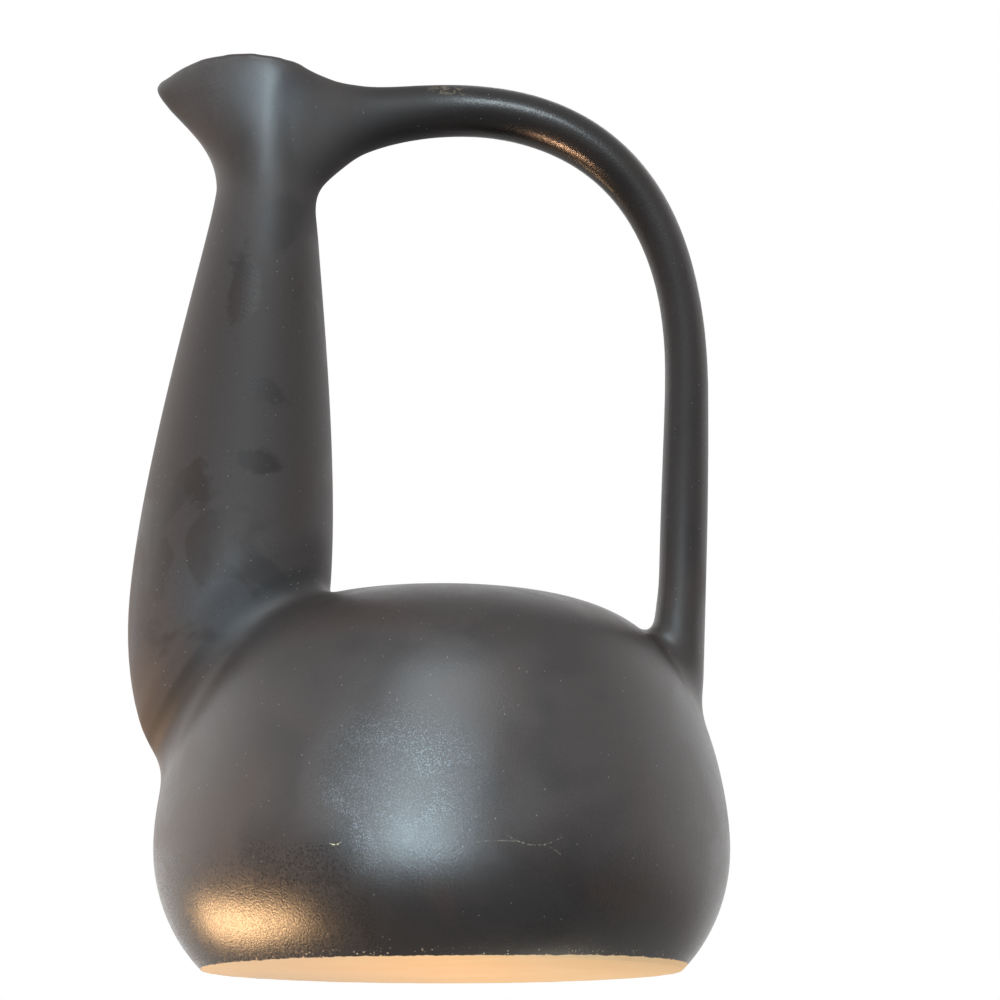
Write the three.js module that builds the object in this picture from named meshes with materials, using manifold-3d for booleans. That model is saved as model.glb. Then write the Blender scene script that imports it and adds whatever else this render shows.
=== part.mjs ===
// A dark-glazed ceramic ewer: a squat domed body on a flat foot, a tapering neck that leans in from
// one shoulder to a beaked mouth, and a round rod handle that arches from the mouth to the other shoulder.
// Millimetres, +Z up, origin at the centre of the underside, beak towards -X and handle towards +X.
import * as THREE from 'three';
import { mergeVertices } from 'three/addons/utils/BufferGeometryUtils.js';
import Module from 'manifold-3d';

const wasm = await Module();
wasm.setup();

// Joint line left between two pieces of clay
const SLIP_GAP = 0.3;

// Body: a dome of revolution on a flat foot
const FOOT_RADIUS = 79.7;
const FOOT_FLARE_OUT = 8;
const FOOT_FLARE_UP = 8;
const BODY_RADIUS = 95.6;
const BODY_HEIGHT = 127.3;
const BELLY_HEIGHT = 40;
const BELLY_FULLNESS_BELOW = 18;
const BELLY_FULLNESS_ABOVE = 16;
const SHOULDER_INSET = 15;
const SHOULDER_DROP = 31;
const SHOULDER_SLOPE_DEGREES = 58;
const SHOULDER_FULLNESS_BELOW = 17;
const SHOULDER_FULLNESS_ABOVE = 22;
const CROWN_FULLNESS = 54;
const BODY_WALL = 5.5;
const SLAB_THICKNESS = 7;

// Neck: a tapering tube with a swollen foot, its axis leaning towards the handle
const NECK_INSET = 25.2;
const NECK_LEAN_DEGREES = 4.9;
const NECK_LENGTH = 105;
const NECK_WALL = 5;
const BULB_RADIUS = 33.3;
const BULB_SINK = 3;
const BULB_DEPTH = 66;
const BULB_FULLNESS_ABOVE = 51;
const THROAT_RADIUS = 16.7;
const THROAT_LENGTH = 29;
const THROAT_FULLNESS_BELOW = 18;

// Mouth: a collar that flares to a pinched beak in front and a low lip behind
const MOUTH_RISE = 43.2;
const MOUTH_WALL = 4.6;
const MOUTH_SIDE_FLARE = 2.8;
const MOUTH_BACK_FLARE = 3.8;
const BEAK_FLARE = 20.6;
const BEAK_THROAT_FULLNESS = 13.5;
const BEAK_SLOPE_OUT = 10;
const BEAK_SLOPE_UP = 12;
const BEAK_DROP = 9.5;
const BEAK_PINCH = 0.42;
const RIM_CREST_OFFSET = 8;
const RIM_FRONT_FULLNESS = 18;
const RIM_BACK_FULLNESS = 11;
const RIM_BACK_DROP = 6.5;

// Handle: a round rod, flared where it leaves the mouth and where it lands on the dome
const HANDLE_TOP_RADIUS = 8.5;
const HANDLE_LEG_RADIUS = 6.7;
const HANDLE_DEPTH_EXTRA = 0.4;
const HANDLE_DROP = 16.4;
const HANDLE_ROOT_DROP = 14.5;
const HANDLE_ROOT_FLARE = 18;
const HANDLE_ROOT_SPREAD = 7.5;
const HANDLE_ROOT_LENGTH = 58;
const HANDLE_RUN_IN = 46.8;
const HANDLE_ARCH_DROP = 96;
const HANDLE_ARCH_TOP_FULLNESS = 38.5;
const HANDLE_ARCH_SIDE_FULLNESS = 78;
const HANDLE_LEG_INSET = 14.2;
const HANDLE_FOOT_INSET = 18.2;
const HANDLE_FOOT_SINK = 56;
const HANDLE_FOOT_FLARE = 2.6;
const HANDLE_FOOT_LENGTH = 150;

// Luting coils, each worked into a hollow fillet or a smoothed band
const COIL_EDGE = 0.9;
const BASE_COIL_SIZE = 9;
const NECK_COIL_REACH = 8.5;
const MOUTH_COIL_HEIGHT = 9;
const MOUTH_COIL_THICKNESS = 2;
const HANDLE_ROOT_COIL_REACH = 9;
const HANDLE_ROOT_COIL_OPEN_DEGREES = 130;
const HANDLE_FOOT_COIL_REACH = 11;

// Facets
const TURN_STEPS = 48;
const CURVE_STEPS = 6;
const RING_SIDES = 28;
const RING_STEPS = 16;
const COLLAR_STEPS = 4;
const ROD_SIDES = 14;
const ROD_STEPS = 34;
const FILLET_STEPS = 4;
const HALVINGS = 40;
const MERGE_DISTANCE = 1e-4;
const CUT_MARGIN = 20;

// Heights and places that follow from the sizes above
const NECK_TOP = BODY_HEIGHT + NECK_LENGTH;
const THROAT = NECK_TOP + THROAT_LENGTH;
const RIM_TOP = THROAT + MOUTH_RISE;
const BEAK_TIP = RIM_TOP - BEAK_DROP;
const RIM_BACK = RIM_TOP - RIM_BACK_DROP;
const BULB_WAIST = BODY_HEIGHT - BULB_SINK;
const BULB_BOTTOM = BULB_WAIST - BULB_DEPTH;
const NECK_LEAN = Math.tan(THREE.MathUtils.degToRad(NECK_LEAN_DEGREES));
const axisX = (z) => NECK_INSET - BODY_RADIUS + NECK_LEAN * (Math.min(z, THROAT) - BODY_HEIGHT);
const MOUTH_X = axisX(THROAT);

const flat = (x, y) => new THREE.Vector2(x, y);

// Outline of the dome as radius and height: foot to belly, belly to shoulder, shoulder to crown
const SHOULDER = flat(BODY_RADIUS - SHOULDER_INSET, BODY_HEIGHT - SHOULDER_DROP);
const SHOULDER_SLOPE = THREE.MathUtils.degToRad(SHOULDER_SLOPE_DEGREES);
const SHOULDER_RUN = flat(-Math.cos(SHOULDER_SLOPE), Math.sin(SHOULDER_SLOPE));
const FOOT_CURVE = new THREE.CubicBezierCurve(
  flat(FOOT_RADIUS, 0),
  flat(FOOT_RADIUS + FOOT_FLARE_OUT, FOOT_FLARE_UP),
  flat(BODY_RADIUS, BELLY_HEIGHT - BELLY_FULLNESS_BELOW),
  flat(BODY_RADIUS, BELLY_HEIGHT),
);
const FLANK_CURVE = new THREE.CubicBezierCurve(
  flat(BODY_RADIUS, BELLY_HEIGHT),
  flat(BODY_RADIUS, BELLY_HEIGHT + BELLY_FULLNESS_ABOVE),
  SHOULDER.clone().addScaledVector(SHOULDER_RUN, -SHOULDER_FULLNESS_BELOW),
  SHOULDER,
);
const CROWN_CURVE = new THREE.CubicBezierCurve(
  SHOULDER,
  SHOULDER.clone().addScaledVector(SHOULDER_RUN, SHOULDER_FULLNESS_ABOVE),
  flat(CROWN_FULLNESS, BODY_HEIGHT),
  flat(0, BODY_HEIGHT),
);

// Outline of the neck as radius and height: the rounded foot, then the taper up to the throat
const ROUND = (4 / 3) * (Math.SQRT2 - 1);
const BULB_CURVE = new THREE.CubicBezierCurve(
  flat(0, BULB_BOTTOM),
  flat(ROUND * BULB_RADIUS, BULB_BOTTOM),
  flat(BULB_RADIUS, BULB_WAIST - ROUND * BULB_DEPTH),
  flat(BULB_RADIUS, BULB_WAIST),
);
const TAPER_CURVE = new THREE.CubicBezierCurve(
  flat(BULB_RADIUS, BULB_WAIST),
  flat(BULB_RADIUS, BULB_WAIST + BULB_FULLNESS_ABOVE),
  flat(THROAT_RADIUS, THROAT - THROAT_FULLNESS_BELOW),
  flat(THROAT_RADIUS, THROAT),
);

// Outline of the beak's underside as reach from the mouth's axis and height
const BEAK_CURVE = new THREE.CubicBezierCurve(
  flat(THROAT_RADIUS, THROAT),
  flat(THROAT_RADIUS, THROAT + BEAK_THROAT_FULLNESS),
  flat(THROAT_RADIUS + BEAK_FLARE - BEAK_SLOPE_OUT, BEAK_TIP - BEAK_SLOPE_UP),
  flat(THROAT_RADIUS + BEAK_FLARE, BEAK_TIP),
);

// Centreline of the handle, from the mouth's axis over the arch and down into the dome
const HANDLE_TOP = RIM_TOP - HANDLE_DROP;
const ARCH_X = MOUTH_X + THROAT_RADIUS + HANDLE_RUN_IN;
const LEG_X = BODY_RADIUS - HANDLE_LEG_INSET;
const LEG_TOP = HANDLE_TOP - HANDLE_ARCH_DROP;
const HANDLE_FOOT = new THREE.Vector3(BODY_RADIUS - HANDLE_FOOT_INSET, 0, BODY_HEIGHT - HANDLE_FOOT_SINK);
const at = (x, z) => new THREE.Vector3(x, 0, z);
const handlePath = new THREE.CurvePath();
handlePath.add(new THREE.QuadraticBezierCurve3(
  at(MOUTH_X, HANDLE_TOP - HANDLE_ROOT_DROP),
  at(MOUTH_X + HANDLE_RUN_IN / 2, HANDLE_TOP),
  at(ARCH_X, HANDLE_TOP),
));
handlePath.add(new THREE.CubicBezierCurve3(
  at(ARCH_X, HANDLE_TOP),
  at(ARCH_X + HANDLE_ARCH_TOP_FULLNESS, HANDLE_TOP),
  at(LEG_X, LEG_TOP + HANDLE_ARCH_SIDE_FULLNESS),
  at(LEG_X, LEG_TOP),
));
handlePath.add(new THREE.QuadraticBezierCurve3(
  at(LEG_X, LEG_TOP),
  at(LEG_X, (LEG_TOP + HANDLE_FOOT.z) / 2),
  HANDLE_FOOT,
));
const HANDLE_LENGTH = handlePath.getLength();
const ARCH_END = handlePath.getCurveLengths()[1];

const steps = (from, to, count) => Array.from({ length: count + 1 }, (_, i) => from + ((to - from) * i) / count);

// Place between two ends where a test that holds at the first end stops holding
function turningPoint(first, second, holds) {
  let low = first;
  let high = second;
  for (let i = 0; i < HALVINGS; i += 1) {
    const middle = (low + high) / 2;
    if (holds(middle)) low = middle;
    else high = middle;
  }
  return high;
}

// Radius of a rising outline at a height
const radiusAt = (curve, height) => curve.getPoint(turningPoint(0, 1, (t) => curve.getPoint(t).y < height)).x;

function domeRadius(z) {
  if (z < BELLY_HEIGHT) return radiusAt(FOOT_CURVE, z);
  return radiusAt(z < SHOULDER.y ? FLANK_CURVE : CROWN_CURVE, z);
}

// Closed mesh to solid and back
function solid(geometry) {
  const bare = geometry.clone();
  bare.deleteAttribute('normal');
  bare.deleteAttribute('uv');
  const merged = mergeVertices(bare, MERGE_DISTANCE);
  return new wasm.Manifold(new wasm.Mesh({
    numProp: 3,
    vertProperties: new Float32Array(merged.attributes.position.array),
    triVerts: new Uint32Array(merged.index.array),
  }));
}

function geometryOf(body) {
  const mesh = body.getMesh();
  const geometry = new THREE.BufferGeometry();
  geometry.setAttribute('position', new THREE.BufferAttribute(new Float32Array(mesh.vertProperties), 3));
  geometry.setIndex(new THREE.BufferAttribute(new Uint32Array(mesh.triVerts), 1));
  geometry.computeVertexNormals();
  return geometry;
}

// Solid of revolution about Z from points of radius and height
const turned = (points) => solid(new THREE.LatheGeometry(points, TURN_STEPS).rotateX(Math.PI / 2));

// Solid through a row of rings with the same number of points, capped at both ends or joined in a loop
function loft(rings, looped = false) {
  const count = rings[0].length;
  const positions = rings.flat().flatMap((point) => point.toArray());
  const index = [];
  for (let r = 0; r < (looped ? rings.length : rings.length - 1); r += 1) {
    const next = ((r + 1) % rings.length) * count;
    for (let i = 0; i < count; i += 1) {
      const j = (i + 1) % count;
      index.push(r * count + i, r * count + j, next + j, r * count + i, next + j, next + i);
    }
  }
  if (!looped) {
    const firstCentre = positions.length / 3;
    const top = (rings.length - 1) * count;
    positions.push(...middleOf(rings[0]).toArray(), ...middleOf(rings[rings.length - 1]).toArray());
    for (let i = 0; i < count; i += 1) {
      const j = (i + 1) % count;
      index.push(firstCentre, j, i, firstCentre + 1, top + i, top + j);
    }
  }
  const geometry = new THREE.BufferGeometry();
  geometry.setAttribute('position', new THREE.Float32BufferAttribute(positions, 3));
  geometry.setIndex(index);
  return solid(geometry);
}

function middleOf(ring) {
  const sum = ring.reduce((total, point) => total.add(point), new THREE.Vector3());
  return sum.divideScalar(ring.length);
}

// Points of the dome's outline moved outwards by an offset
function domeOutline(offset) {
  const outline = [];
  for (const curve of [FOOT_CURVE, FLANK_CURVE, CROWN_CURVE]) {
    const shares = steps(0, 1, CURVE_STEPS);
    for (const t of curve === FOOT_CURVE ? shares : shares.slice(1)) {
      const along = curve.getTangent(t);
      outline.push(curve.getPoint(t).add(flat(offset * along.y, -offset * along.x)));
    }
  }
  outline[outline.length - 1].x = 0;
  return outline;
}

// Dome filled down to its foot, grown or shrunk by an offset
function domeSolid(offset) {
  const outline = domeOutline(offset);
  return turned([flat(0, outline[0].y), ...outline]);
}

// Radius of the hollow inside the dome at a height
function cavityRadius(z) {
  const outline = domeOutline(-BODY_WALL);
  const above = Math.max(1, outline.findIndex((point) => point.y > z));
  const share = (z - outline[above - 1].y) / (outline[above].y - outline[above - 1].y);
  return THREE.MathUtils.lerp(outline[above - 1].x, outline[above].x, share);
}

// Block that covers everything between two heights
function layer(from, to) {
  const width = 2 * (BODY_RADIUS + BULB_RADIUS + CUT_MARGIN);
  return solid(new THREE.BoxGeometry(width, width, to - from).translate(0, 0, (from + to) / 2));
}

// Section of the neck and mouth at a height, grown by an offset
function throatRing(z, offset) {
  let radius = THROAT_RADIUS;
  if (z < THROAT) radius = radiusAt(z < BULB_WAIST ? BULB_CURVE : TAPER_CURVE, z);
  const front = z < THROAT ? radius : radiusAt(BEAK_CURVE, Math.min(z, BEAK_TIP));
  const rise = Math.max(0, z - THROAT) / MOUTH_RISE;
  const back = radius + MOUTH_BACK_FLARE * rise ** 2;
  const side = radius + MOUTH_SIDE_FLARE * rise ** 2;
  const pinch = (BEAK_PINCH * (front - radius)) / BEAK_FLARE;
  const ring = [];
  for (let i = 0; i < RING_SIDES; i += 1) {
    const angle = (2 * Math.PI * i) / RING_SIDES;
    const ahead = Math.max(0, -Math.cos(angle));
    const reach = (ahead > 0 ? front : back) + offset;
    const width = (side + offset) * (1 - pinch * ahead ** 2);
    ring.push(new THREE.Vector3(axisX(z) + reach * Math.cos(angle), width * Math.sin(angle), z));
  }
  return ring;
}

const throatLoft = (offset, heights) => loft(heights.map((z) => throatRing(z, offset)));

// Section of the handle at a share of its length, grown by an offset
function handleRing(share, offset) {
  const centre = handlePath.getPointAt(share);
  const along = handlePath.getTangentAt(share);
  const across = new THREE.Vector3(-along.z, 0, along.x);
  const fromRoot = share * HANDLE_LENGTH;
  const fromFoot = HANDLE_LENGTH - fromRoot;
  const root = Math.max(0, 1 - fromRoot / HANDLE_ROOT_LENGTH) ** 2;
  const foot = Math.max(0, 1 - fromFoot / HANDLE_FOOT_LENGTH) ** 2;
  const slimming = THREE.MathUtils.smoothstep(fromRoot, HANDLE_ROOT_LENGTH, ARCH_END);
  const rod = THREE.MathUtils.lerp(HANDLE_TOP_RADIUS, HANDLE_LEG_RADIUS, slimming) + offset;
  const thick = rod + HANDLE_ROOT_FLARE * root + HANDLE_FOOT_FLARE * foot;
  const deep = rod + HANDLE_DEPTH_EXTRA + HANDLE_ROOT_SPREAD * root + HANDLE_FOOT_FLARE * foot;
  const ring = [];
  for (let i = 0; i < ROD_SIDES; i += 1) {
    const angle = (2 * Math.PI * i) / ROD_SIDES;
    const point = centre.clone().addScaledVector(across, thick * Math.cos(angle));
    point.y = -deep * Math.sin(angle);
    ring.push(point);
  }
  return ring;
}

const handleLoft = (offset) => loft(steps(0, 1, ROD_STEPS).map((share) => handleRing(share, offset)));

// How far a point stands outside the dome or the mouth, negative inside
const outsideDome = (p) => Math.hypot(p.x, p.y) - domeRadius(p.z);

function outsideMouth(p) {
  const turn = (Math.atan2(p.y, p.x - axisX(p.z)) / (2 * Math.PI) + 1) * RING_SIDES;
  const ring = throatRing(p.z, 0);
  const edge = ring[Math.floor(turn) % RING_SIDES].clone();
  edge.lerp(ring[Math.ceil(turn) % RING_SIDES], turn % 1);
  return Math.hypot(p.x - axisX(p.z), p.y) - Math.hypot(edge.x - axisX(p.z), edge.y);
}

// Direction straight out of a surface, from how the distance outside it changes
function straightOut(p, outside) {
  const slope = new THREE.Vector3();
  for (const axis of ['x', 'y', 'z']) {
    const ahead = p.clone();
    const behind = p.clone();
    ahead[axis] += SLIP_GAP;
    behind[axis] -= SLIP_GAP;
    slope[axis] = outside(ahead) - outside(behind);
  }
  return slope.normalize();
}

// Hollow fillet along the line where a rod of rings comes out of another surface, left open about the top
function fillet(ringAt, insideEnd, outsideEnd, outside, reach, openDegrees = 0) {
  const sections = ringAt(insideEnd).map((_, i) => {
    const pointAt = (u) => ringAt(u)[i];
    const joint = turningPoint(insideEnd, outsideEnd, (u) => outside(pointAt(u)) < 0);
    const corner = pointAt(joint);
    const offRod = corner.clone().sub(middleOf(ringAt(joint))).setLength(COIL_EDGE);
    const offSurface = straightOut(corner, outside).setLength(COIL_EDGE);
    const onRod = pointAt(turningPoint(joint, outsideEnd, (u) => pointAt(u).distanceTo(corner) < reach));
    const away = offRod.clone().projectOnPlane(offSurface.clone().normalize()).setLength(reach);
    const onSurface = corner.clone().add(away);
    const valley = corner.clone().add(offRod).add(offSurface);
    const face = new THREE.QuadraticBezierCurve3(onRod.add(offRod), valley, onSurface.add(offSurface));
    const buried = corner.clone().multiplyScalar(2).sub(face.getPoint(0.5));
    return [buried, ...face.getPoints(FILLET_STEPS)];
  });
  if (insideEnd > outsideEnd) sections.reverse();
  if (openDegrees === 0) return loft(sections, true);
  const halfOpen = THREE.MathUtils.degToRad(openDegrees) / 2;
  const skipped = Math.ceil((sections.length * halfOpen) / (2 * Math.PI));
  return loft(sections.slice(skipped, sections.length - skipped + 1));
}

// Solids that cut their neighbours
const domeCutter = domeSolid(SLIP_GAP);
const mouthHeights = (from) => [
  ...steps(from, THROAT, COLLAR_STEPS),
  ...steps(THROAT, RIM_TOP + CUT_MARGIN, RING_STEPS + COLLAR_STEPS).slice(1),
];
const neckBore = throatLoft(-NECK_WALL, steps(BULB_BOTTOM + BODY_WALL, THROAT, RING_STEPS));
const mouthBore = throatLoft(-MOUTH_WALL, mouthHeights(NECK_TOP - CUT_MARGIN));
const neckCutter = throatLoft(SLIP_GAP, steps(BULB_BOTTOM, THROAT, 2 * RING_STEPS));
const mouthCutter = throatLoft(SLIP_GAP, mouthHeights(NECK_TOP - CUT_MARGIN));
const handleCutter = handleLoft(SLIP_GAP);

function baseSlab() {
  return domeSolid(0).intersect(layer(-CUT_MARGIN, SLAB_THICKNESS));
}

// Fillet of clay in the corner between the slab and the inside of the wall
function baseLutingCoil() {
  const floor = SLAB_THICKNESS + SLIP_GAP;
  const top = floor + BASE_COIL_SIZE;
  const corner = flat(cavityRadius(floor), floor);
  const onSlab = flat(corner.x - BASE_COIL_SIZE, floor);
  const face = new THREE.QuadraticBezierCurve(onSlab, corner, flat(cavityRadius(top), top));
  const hollow = turned([flat(0, floor), ...face.getPoints(CURVE_STEPS), flat(0, top)]);
  const ring = domeSolid(-BODY_WALL - SLIP_GAP).intersect(layer(floor, top));
  return ring.subtract(hollow);
}

function bodyDome() {
  const shell = domeSolid(0).subtract(domeSolid(-BODY_WALL)).subtract(neckBore);
  return shell.intersect(layer(SLAB_THICKNESS + SLIP_GAP, BODY_HEIGHT + CUT_MARGIN));
}

function neckTube() {
  const outside = throatLoft(0, steps(BULB_BOTTOM, NECK_TOP, RING_STEPS));
  return outside.subtract(neckBore).subtract(domeCutter);
}

function neckLutingCoil() {
  const coil = fillet((z) => throatRing(z, 0), BULB_BOTTOM, NECK_TOP, outsideDome, NECK_COIL_REACH);
  return coil.subtract(neckCutter).subtract(domeCutter);
}

// Everything above the rim: the line climbs from the beak to a crest and falls to the back lip
function aboveRim() {
  const tipX = MOUTH_X - THROAT_RADIUS - BEAK_FLARE;
  const crestX = MOUTH_X - RIM_CREST_OFFSET;
  const backX = MOUTH_X + THROAT_RADIUS + MOUTH_BACK_FLARE;
  const ceiling = RIM_TOP + 2 * CUT_MARGIN;
  const line = new THREE.Shape();
  line.moveTo(tipX - CUT_MARGIN, ceiling);
  line.lineTo(tipX - CUT_MARGIN, BEAK_TIP - CUT_MARGIN);
  line.lineTo(tipX, BEAK_TIP);
  line.quadraticCurveTo(crestX - RIM_FRONT_FULLNESS, RIM_TOP, crestX, RIM_TOP);
  line.quadraticCurveTo(crestX + RIM_BACK_FULLNESS, RIM_TOP, backX, RIM_BACK);
  line.lineTo(backX + CUT_MARGIN, RIM_BACK);
  line.lineTo(backX + CUT_MARGIN, ceiling);
  const width = 2 * (BULB_RADIUS + CUT_MARGIN);
  const block = new THREE.ExtrudeGeometry(line, { depth: width, bevelEnabled: false, curveSegments: CURVE_STEPS });
  return solid(block.rotateX(Math.PI / 2).translate(0, width / 2, 0));
}

function mouthCollar() {
  const outside = throatLoft(0, mouthHeights(NECK_TOP + SLIP_GAP));
  return outside.subtract(mouthBore).subtract(aboveRim());
}

// Flat band of clay smoothed over the inside of the neck's top seam
function mouthLutingCoil() {
  const from = NECK_TOP - MOUTH_COIL_HEIGHT / 2;
  const to = NECK_TOP + MOUTH_COIL_HEIGHT / 2;
  const wall = Math.max(NECK_WALL, MOUTH_WALL) + SLIP_GAP;
  const inside = throatLoft(-wall - MOUTH_COIL_THICKNESS, steps(from - SLIP_GAP, to + SLIP_GAP, COLLAR_STEPS));
  return throatLoft(-wall, steps(from, to, COLLAR_STEPS)).subtract(inside);
}

function handle() {
  return handleLoft(0).subtract(mouthCutter).subtract(domeCutter);
}

function handleRootCoil() {
  const ringAt = (share) => handleRing(share, 0);
  const end = HANDLE_ROOT_LENGTH / HANDLE_LENGTH;
  const open = HANDLE_ROOT_COIL_OPEN_DEGREES;
  const coil = fillet(ringAt, 0, end, outsideMouth, HANDLE_ROOT_COIL_REACH, open);
  return coil.subtract(mouthCutter).subtract(handleCutter);
}

function handleFootCoil() {
  const ringAt = (share) => handleRing(share, 0);
  const end = 1 - (2 * HANDLE_FOOT_SINK) / HANDLE_LENGTH;
  const coil = fillet(ringAt, 1, end, outsideDome, HANDLE_FOOT_COIL_REACH);
  return coil.subtract(domeCutter).subtract(handleCutter);
}

const darkGlaze = () => new THREE.MeshStandardMaterial({ color: 0x3a3533, roughness: 0.42, metalness: 0 });
const bareClay = () => new THREE.MeshStandardMaterial({ color: 0xdcb183, roughness: 0.9, metalness: 0 });

const ewer = new THREE.Group();

function place(name, body, material) {
  const mesh = new THREE.Mesh(geometryOf(body), material);
  mesh.name = name;
  ewer.add(mesh);
}

place('base_slab', baseSlab(), bareClay());
place('base_luting_coil', baseLutingCoil(), bareClay());
place('body_dome', bodyDome(), darkGlaze());
place('neck_tube', neckTube(), darkGlaze());
place('neck_luting_coil', neckLutingCoil(), darkGlaze());
place('mouth_collar', mouthCollar(), darkGlaze());
place('mouth_luting_coil', mouthLutingCoil(), darkGlaze());
place('handle', handle(), darkGlaze());
place('handle_root_coil', handleRootCoil(), darkGlaze());
place('handle_foot_coil', handleFootCoil(), darkGlaze());

export default ewer;
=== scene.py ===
"""Looks of a dark-glazed ceramic ewer: clay pieces luted together, satin glaze, bare clay foot.

Lengths are in metres, with +Z up and the beak towards -X.
"""
import logging
import math
from dataclasses import dataclass
from enum import Enum
from functools import reduce
from operator import mul
from typing import Any, Callable, Sequence

import bpy
import bmesh
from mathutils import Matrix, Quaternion, Vector


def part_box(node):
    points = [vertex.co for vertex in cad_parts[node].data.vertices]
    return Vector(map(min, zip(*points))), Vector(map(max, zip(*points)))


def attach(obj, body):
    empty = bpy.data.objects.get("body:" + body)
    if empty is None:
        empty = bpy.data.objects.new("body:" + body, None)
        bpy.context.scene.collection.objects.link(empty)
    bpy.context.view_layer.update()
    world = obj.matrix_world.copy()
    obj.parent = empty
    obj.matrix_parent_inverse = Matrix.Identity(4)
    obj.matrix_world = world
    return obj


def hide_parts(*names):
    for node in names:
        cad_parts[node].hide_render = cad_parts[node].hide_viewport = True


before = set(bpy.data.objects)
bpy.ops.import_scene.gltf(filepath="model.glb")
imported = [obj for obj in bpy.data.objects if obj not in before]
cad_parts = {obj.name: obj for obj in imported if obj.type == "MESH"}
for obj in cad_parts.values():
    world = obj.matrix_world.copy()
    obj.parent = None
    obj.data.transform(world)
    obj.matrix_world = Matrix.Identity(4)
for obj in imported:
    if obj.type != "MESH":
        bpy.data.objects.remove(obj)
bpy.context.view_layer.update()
MM = 0.001
HALVINGS = 40

Point = tuple[float, float]
Span = tuple[float, float]
Colour = tuple[float, float, float, float]
log = logging.getLogger("ewer")


class Slot(Enum):
    """Material slots of the record."""

    GLAZE = "dark_glaze"
    CLAY = "bare_clay"


class Cut(Enum):
    """Ways one form changes another."""

    JOIN = "UNION"
    REMOVE = "DIFFERENCE"
    KEEP = "INTERSECT"


# Curves


def cubic(ends: Sequence[Point], share: float) -> Point:
    """Point on a cubic curve.

    Args:
        ends: The four control points.
        share: Place along the curve, from 0 to 1.

    Returns:
        The point.
    """
    rest = 1 - share
    weights = (rest**3, 3 * rest**2 * share, 3 * rest * share**2, share**3)
    return (
        sum(w * p[0] for w, p in zip(weights, ends)),
        sum(w * p[1] for w, p in zip(weights, ends)),
    )


def raised(ends: Sequence[Point]) -> list[Point]:
    """Cubic control points of a curve that has three.

    Args:
        ends: Start, middle and end control points.

    Returns:
        Four control points of the same curve.
    """
    start, middle, end = ends
    near = tuple(s + 2 * (m - s) / 3 for s, m in zip(start, middle))
    far = tuple(e + 2 * (m - e) / 3 for e, m in zip(end, middle))
    return [start, near, far, end]


def height_on(ends: Sequence[Point], height: float) -> float:
    """Radius of a rising outline at a height.

    Args:
        ends: The outline's control points, as radius and height.
        height: Where it is read.

    Returns:
        The radius there.
    """
    low, high = 0.0, 1.0
    for _ in range(HALVINGS):
        middle = (low + high) / 2
        if cubic(ends, middle)[1] < height:
            low = middle
        else:
            high = middle
    return cubic(ends, high)[0]


def mm(*sizes: float) -> tuple[float, ...]:
    """Millimetres as metres."""
    return tuple(size * MM for size in sizes)


def steps(start: float, end: float, count: int) -> list[float]:
    """Evenly spaced values from start to end, both included."""
    return [start + (end - start) * i / count for i in range(count + 1)]


def smoothstep(value: float, low: float, high: float) -> float:
    """Share from 0 at low to 1 at high, easing at both ends."""
    share = min(1.0, max(0.0, (value - low) / (high - low)))
    return share * share * (3 - 2 * share)


# Bench work shared by all the pieces


@dataclass(frozen=True)
class Ring:
    """One ring of a form that is raised ring by ring.

    Attributes:
        x: Place of the centre along X.
        z: Height of the centre.
        across: Half width of the ring in the plane of the beak and the handle.
        deep: Half width along Y.
        tilt: Turn of the ring about Y, 0 when it lies flat.
    """

    x: float
    z: float
    across: float
    deep: float
    tilt: float = 0.0


def put_down() -> None:
    """Leaves edit mode with nothing selected."""
    if bpy.context.mode != "OBJECT":
        bpy.ops.object.mode_set(mode="OBJECT")
    bpy.ops.object.select_all(action="DESELECT")


def pick_up(piece: bpy.types.Object) -> None:
    """Makes a piece the only selected object and the active one."""
    put_down()
    piece.select_set(True)
    bpy.context.view_layer.objects.active = piece


def raise_rings(name: str, rings: Sequence[Ring], sides: int) -> bpy.types.Object:
    """Raises a closed form from a filled circle, one extruded ring at a time.

    Args:
        name: Name of the new object.
        rings: The rings from first to last.
        sides: Number of points in a ring.

    Returns:
        The new object, closed at both ends.
    """
    first = rings[0]
    put_down()
    bpy.ops.mesh.primitive_circle_add(
        vertices=sides,
        radius=1.0,
        fill_type="NGON",
        location=(first.x, 0, first.z),
        rotation=(0, first.tilt, 0),
        scale=(1, 1, 1),
    )
    piece = bpy.context.active_object
    piece.name = name
    bpy.ops.object.transform_apply(location=True, rotation=True, scale=True)
    bpy.ops.object.mode_set(mode="EDIT")
    bpy.ops.mesh.select_all(action="SELECT")
    bpy.ops.transform.resize(
        value=(first.across, first.deep, first.across), center_override=(first.x, 0, first.z)
    )
    for last, ring in zip(rings, rings[1:]):
        centre = (ring.x, 0, ring.z)
        bpy.ops.mesh.extrude_region_move(
            TRANSFORM_OT_translate={"value": (ring.x - last.x, 0, ring.z - last.z)}
        )
        if ring.tilt != last.tilt:
            bpy.ops.transform.rotate(value=last.tilt - ring.tilt, orient_axis="Y", center_override=centre)
        widen = ring.across / last.across
        bpy.ops.transform.resize(value=(widen, ring.deep / last.deep, widen), center_override=centre)
    bpy.ops.mesh.select_all(action="SELECT")
    bpy.ops.mesh.normals_make_consistent(inside=False)
    put_down()
    return piece


def copy_of(piece: bpy.types.Object, name: str) -> bpy.types.Object:
    """A copy with its own mesh.

    Args:
        piece: What is copied.
        name: Name of the copy.

    Returns:
        The copy.
    """
    pick_up(piece)
    bpy.ops.object.duplicate()
    copy = bpy.context.active_object
    copy.name = name
    put_down()
    return copy


def throw_away(*pieces: bpy.types.Object) -> None:
    """Removes helper forms that are no longer needed."""
    for piece in pieces:
        pick_up(piece)
        bpy.ops.object.delete()


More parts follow.
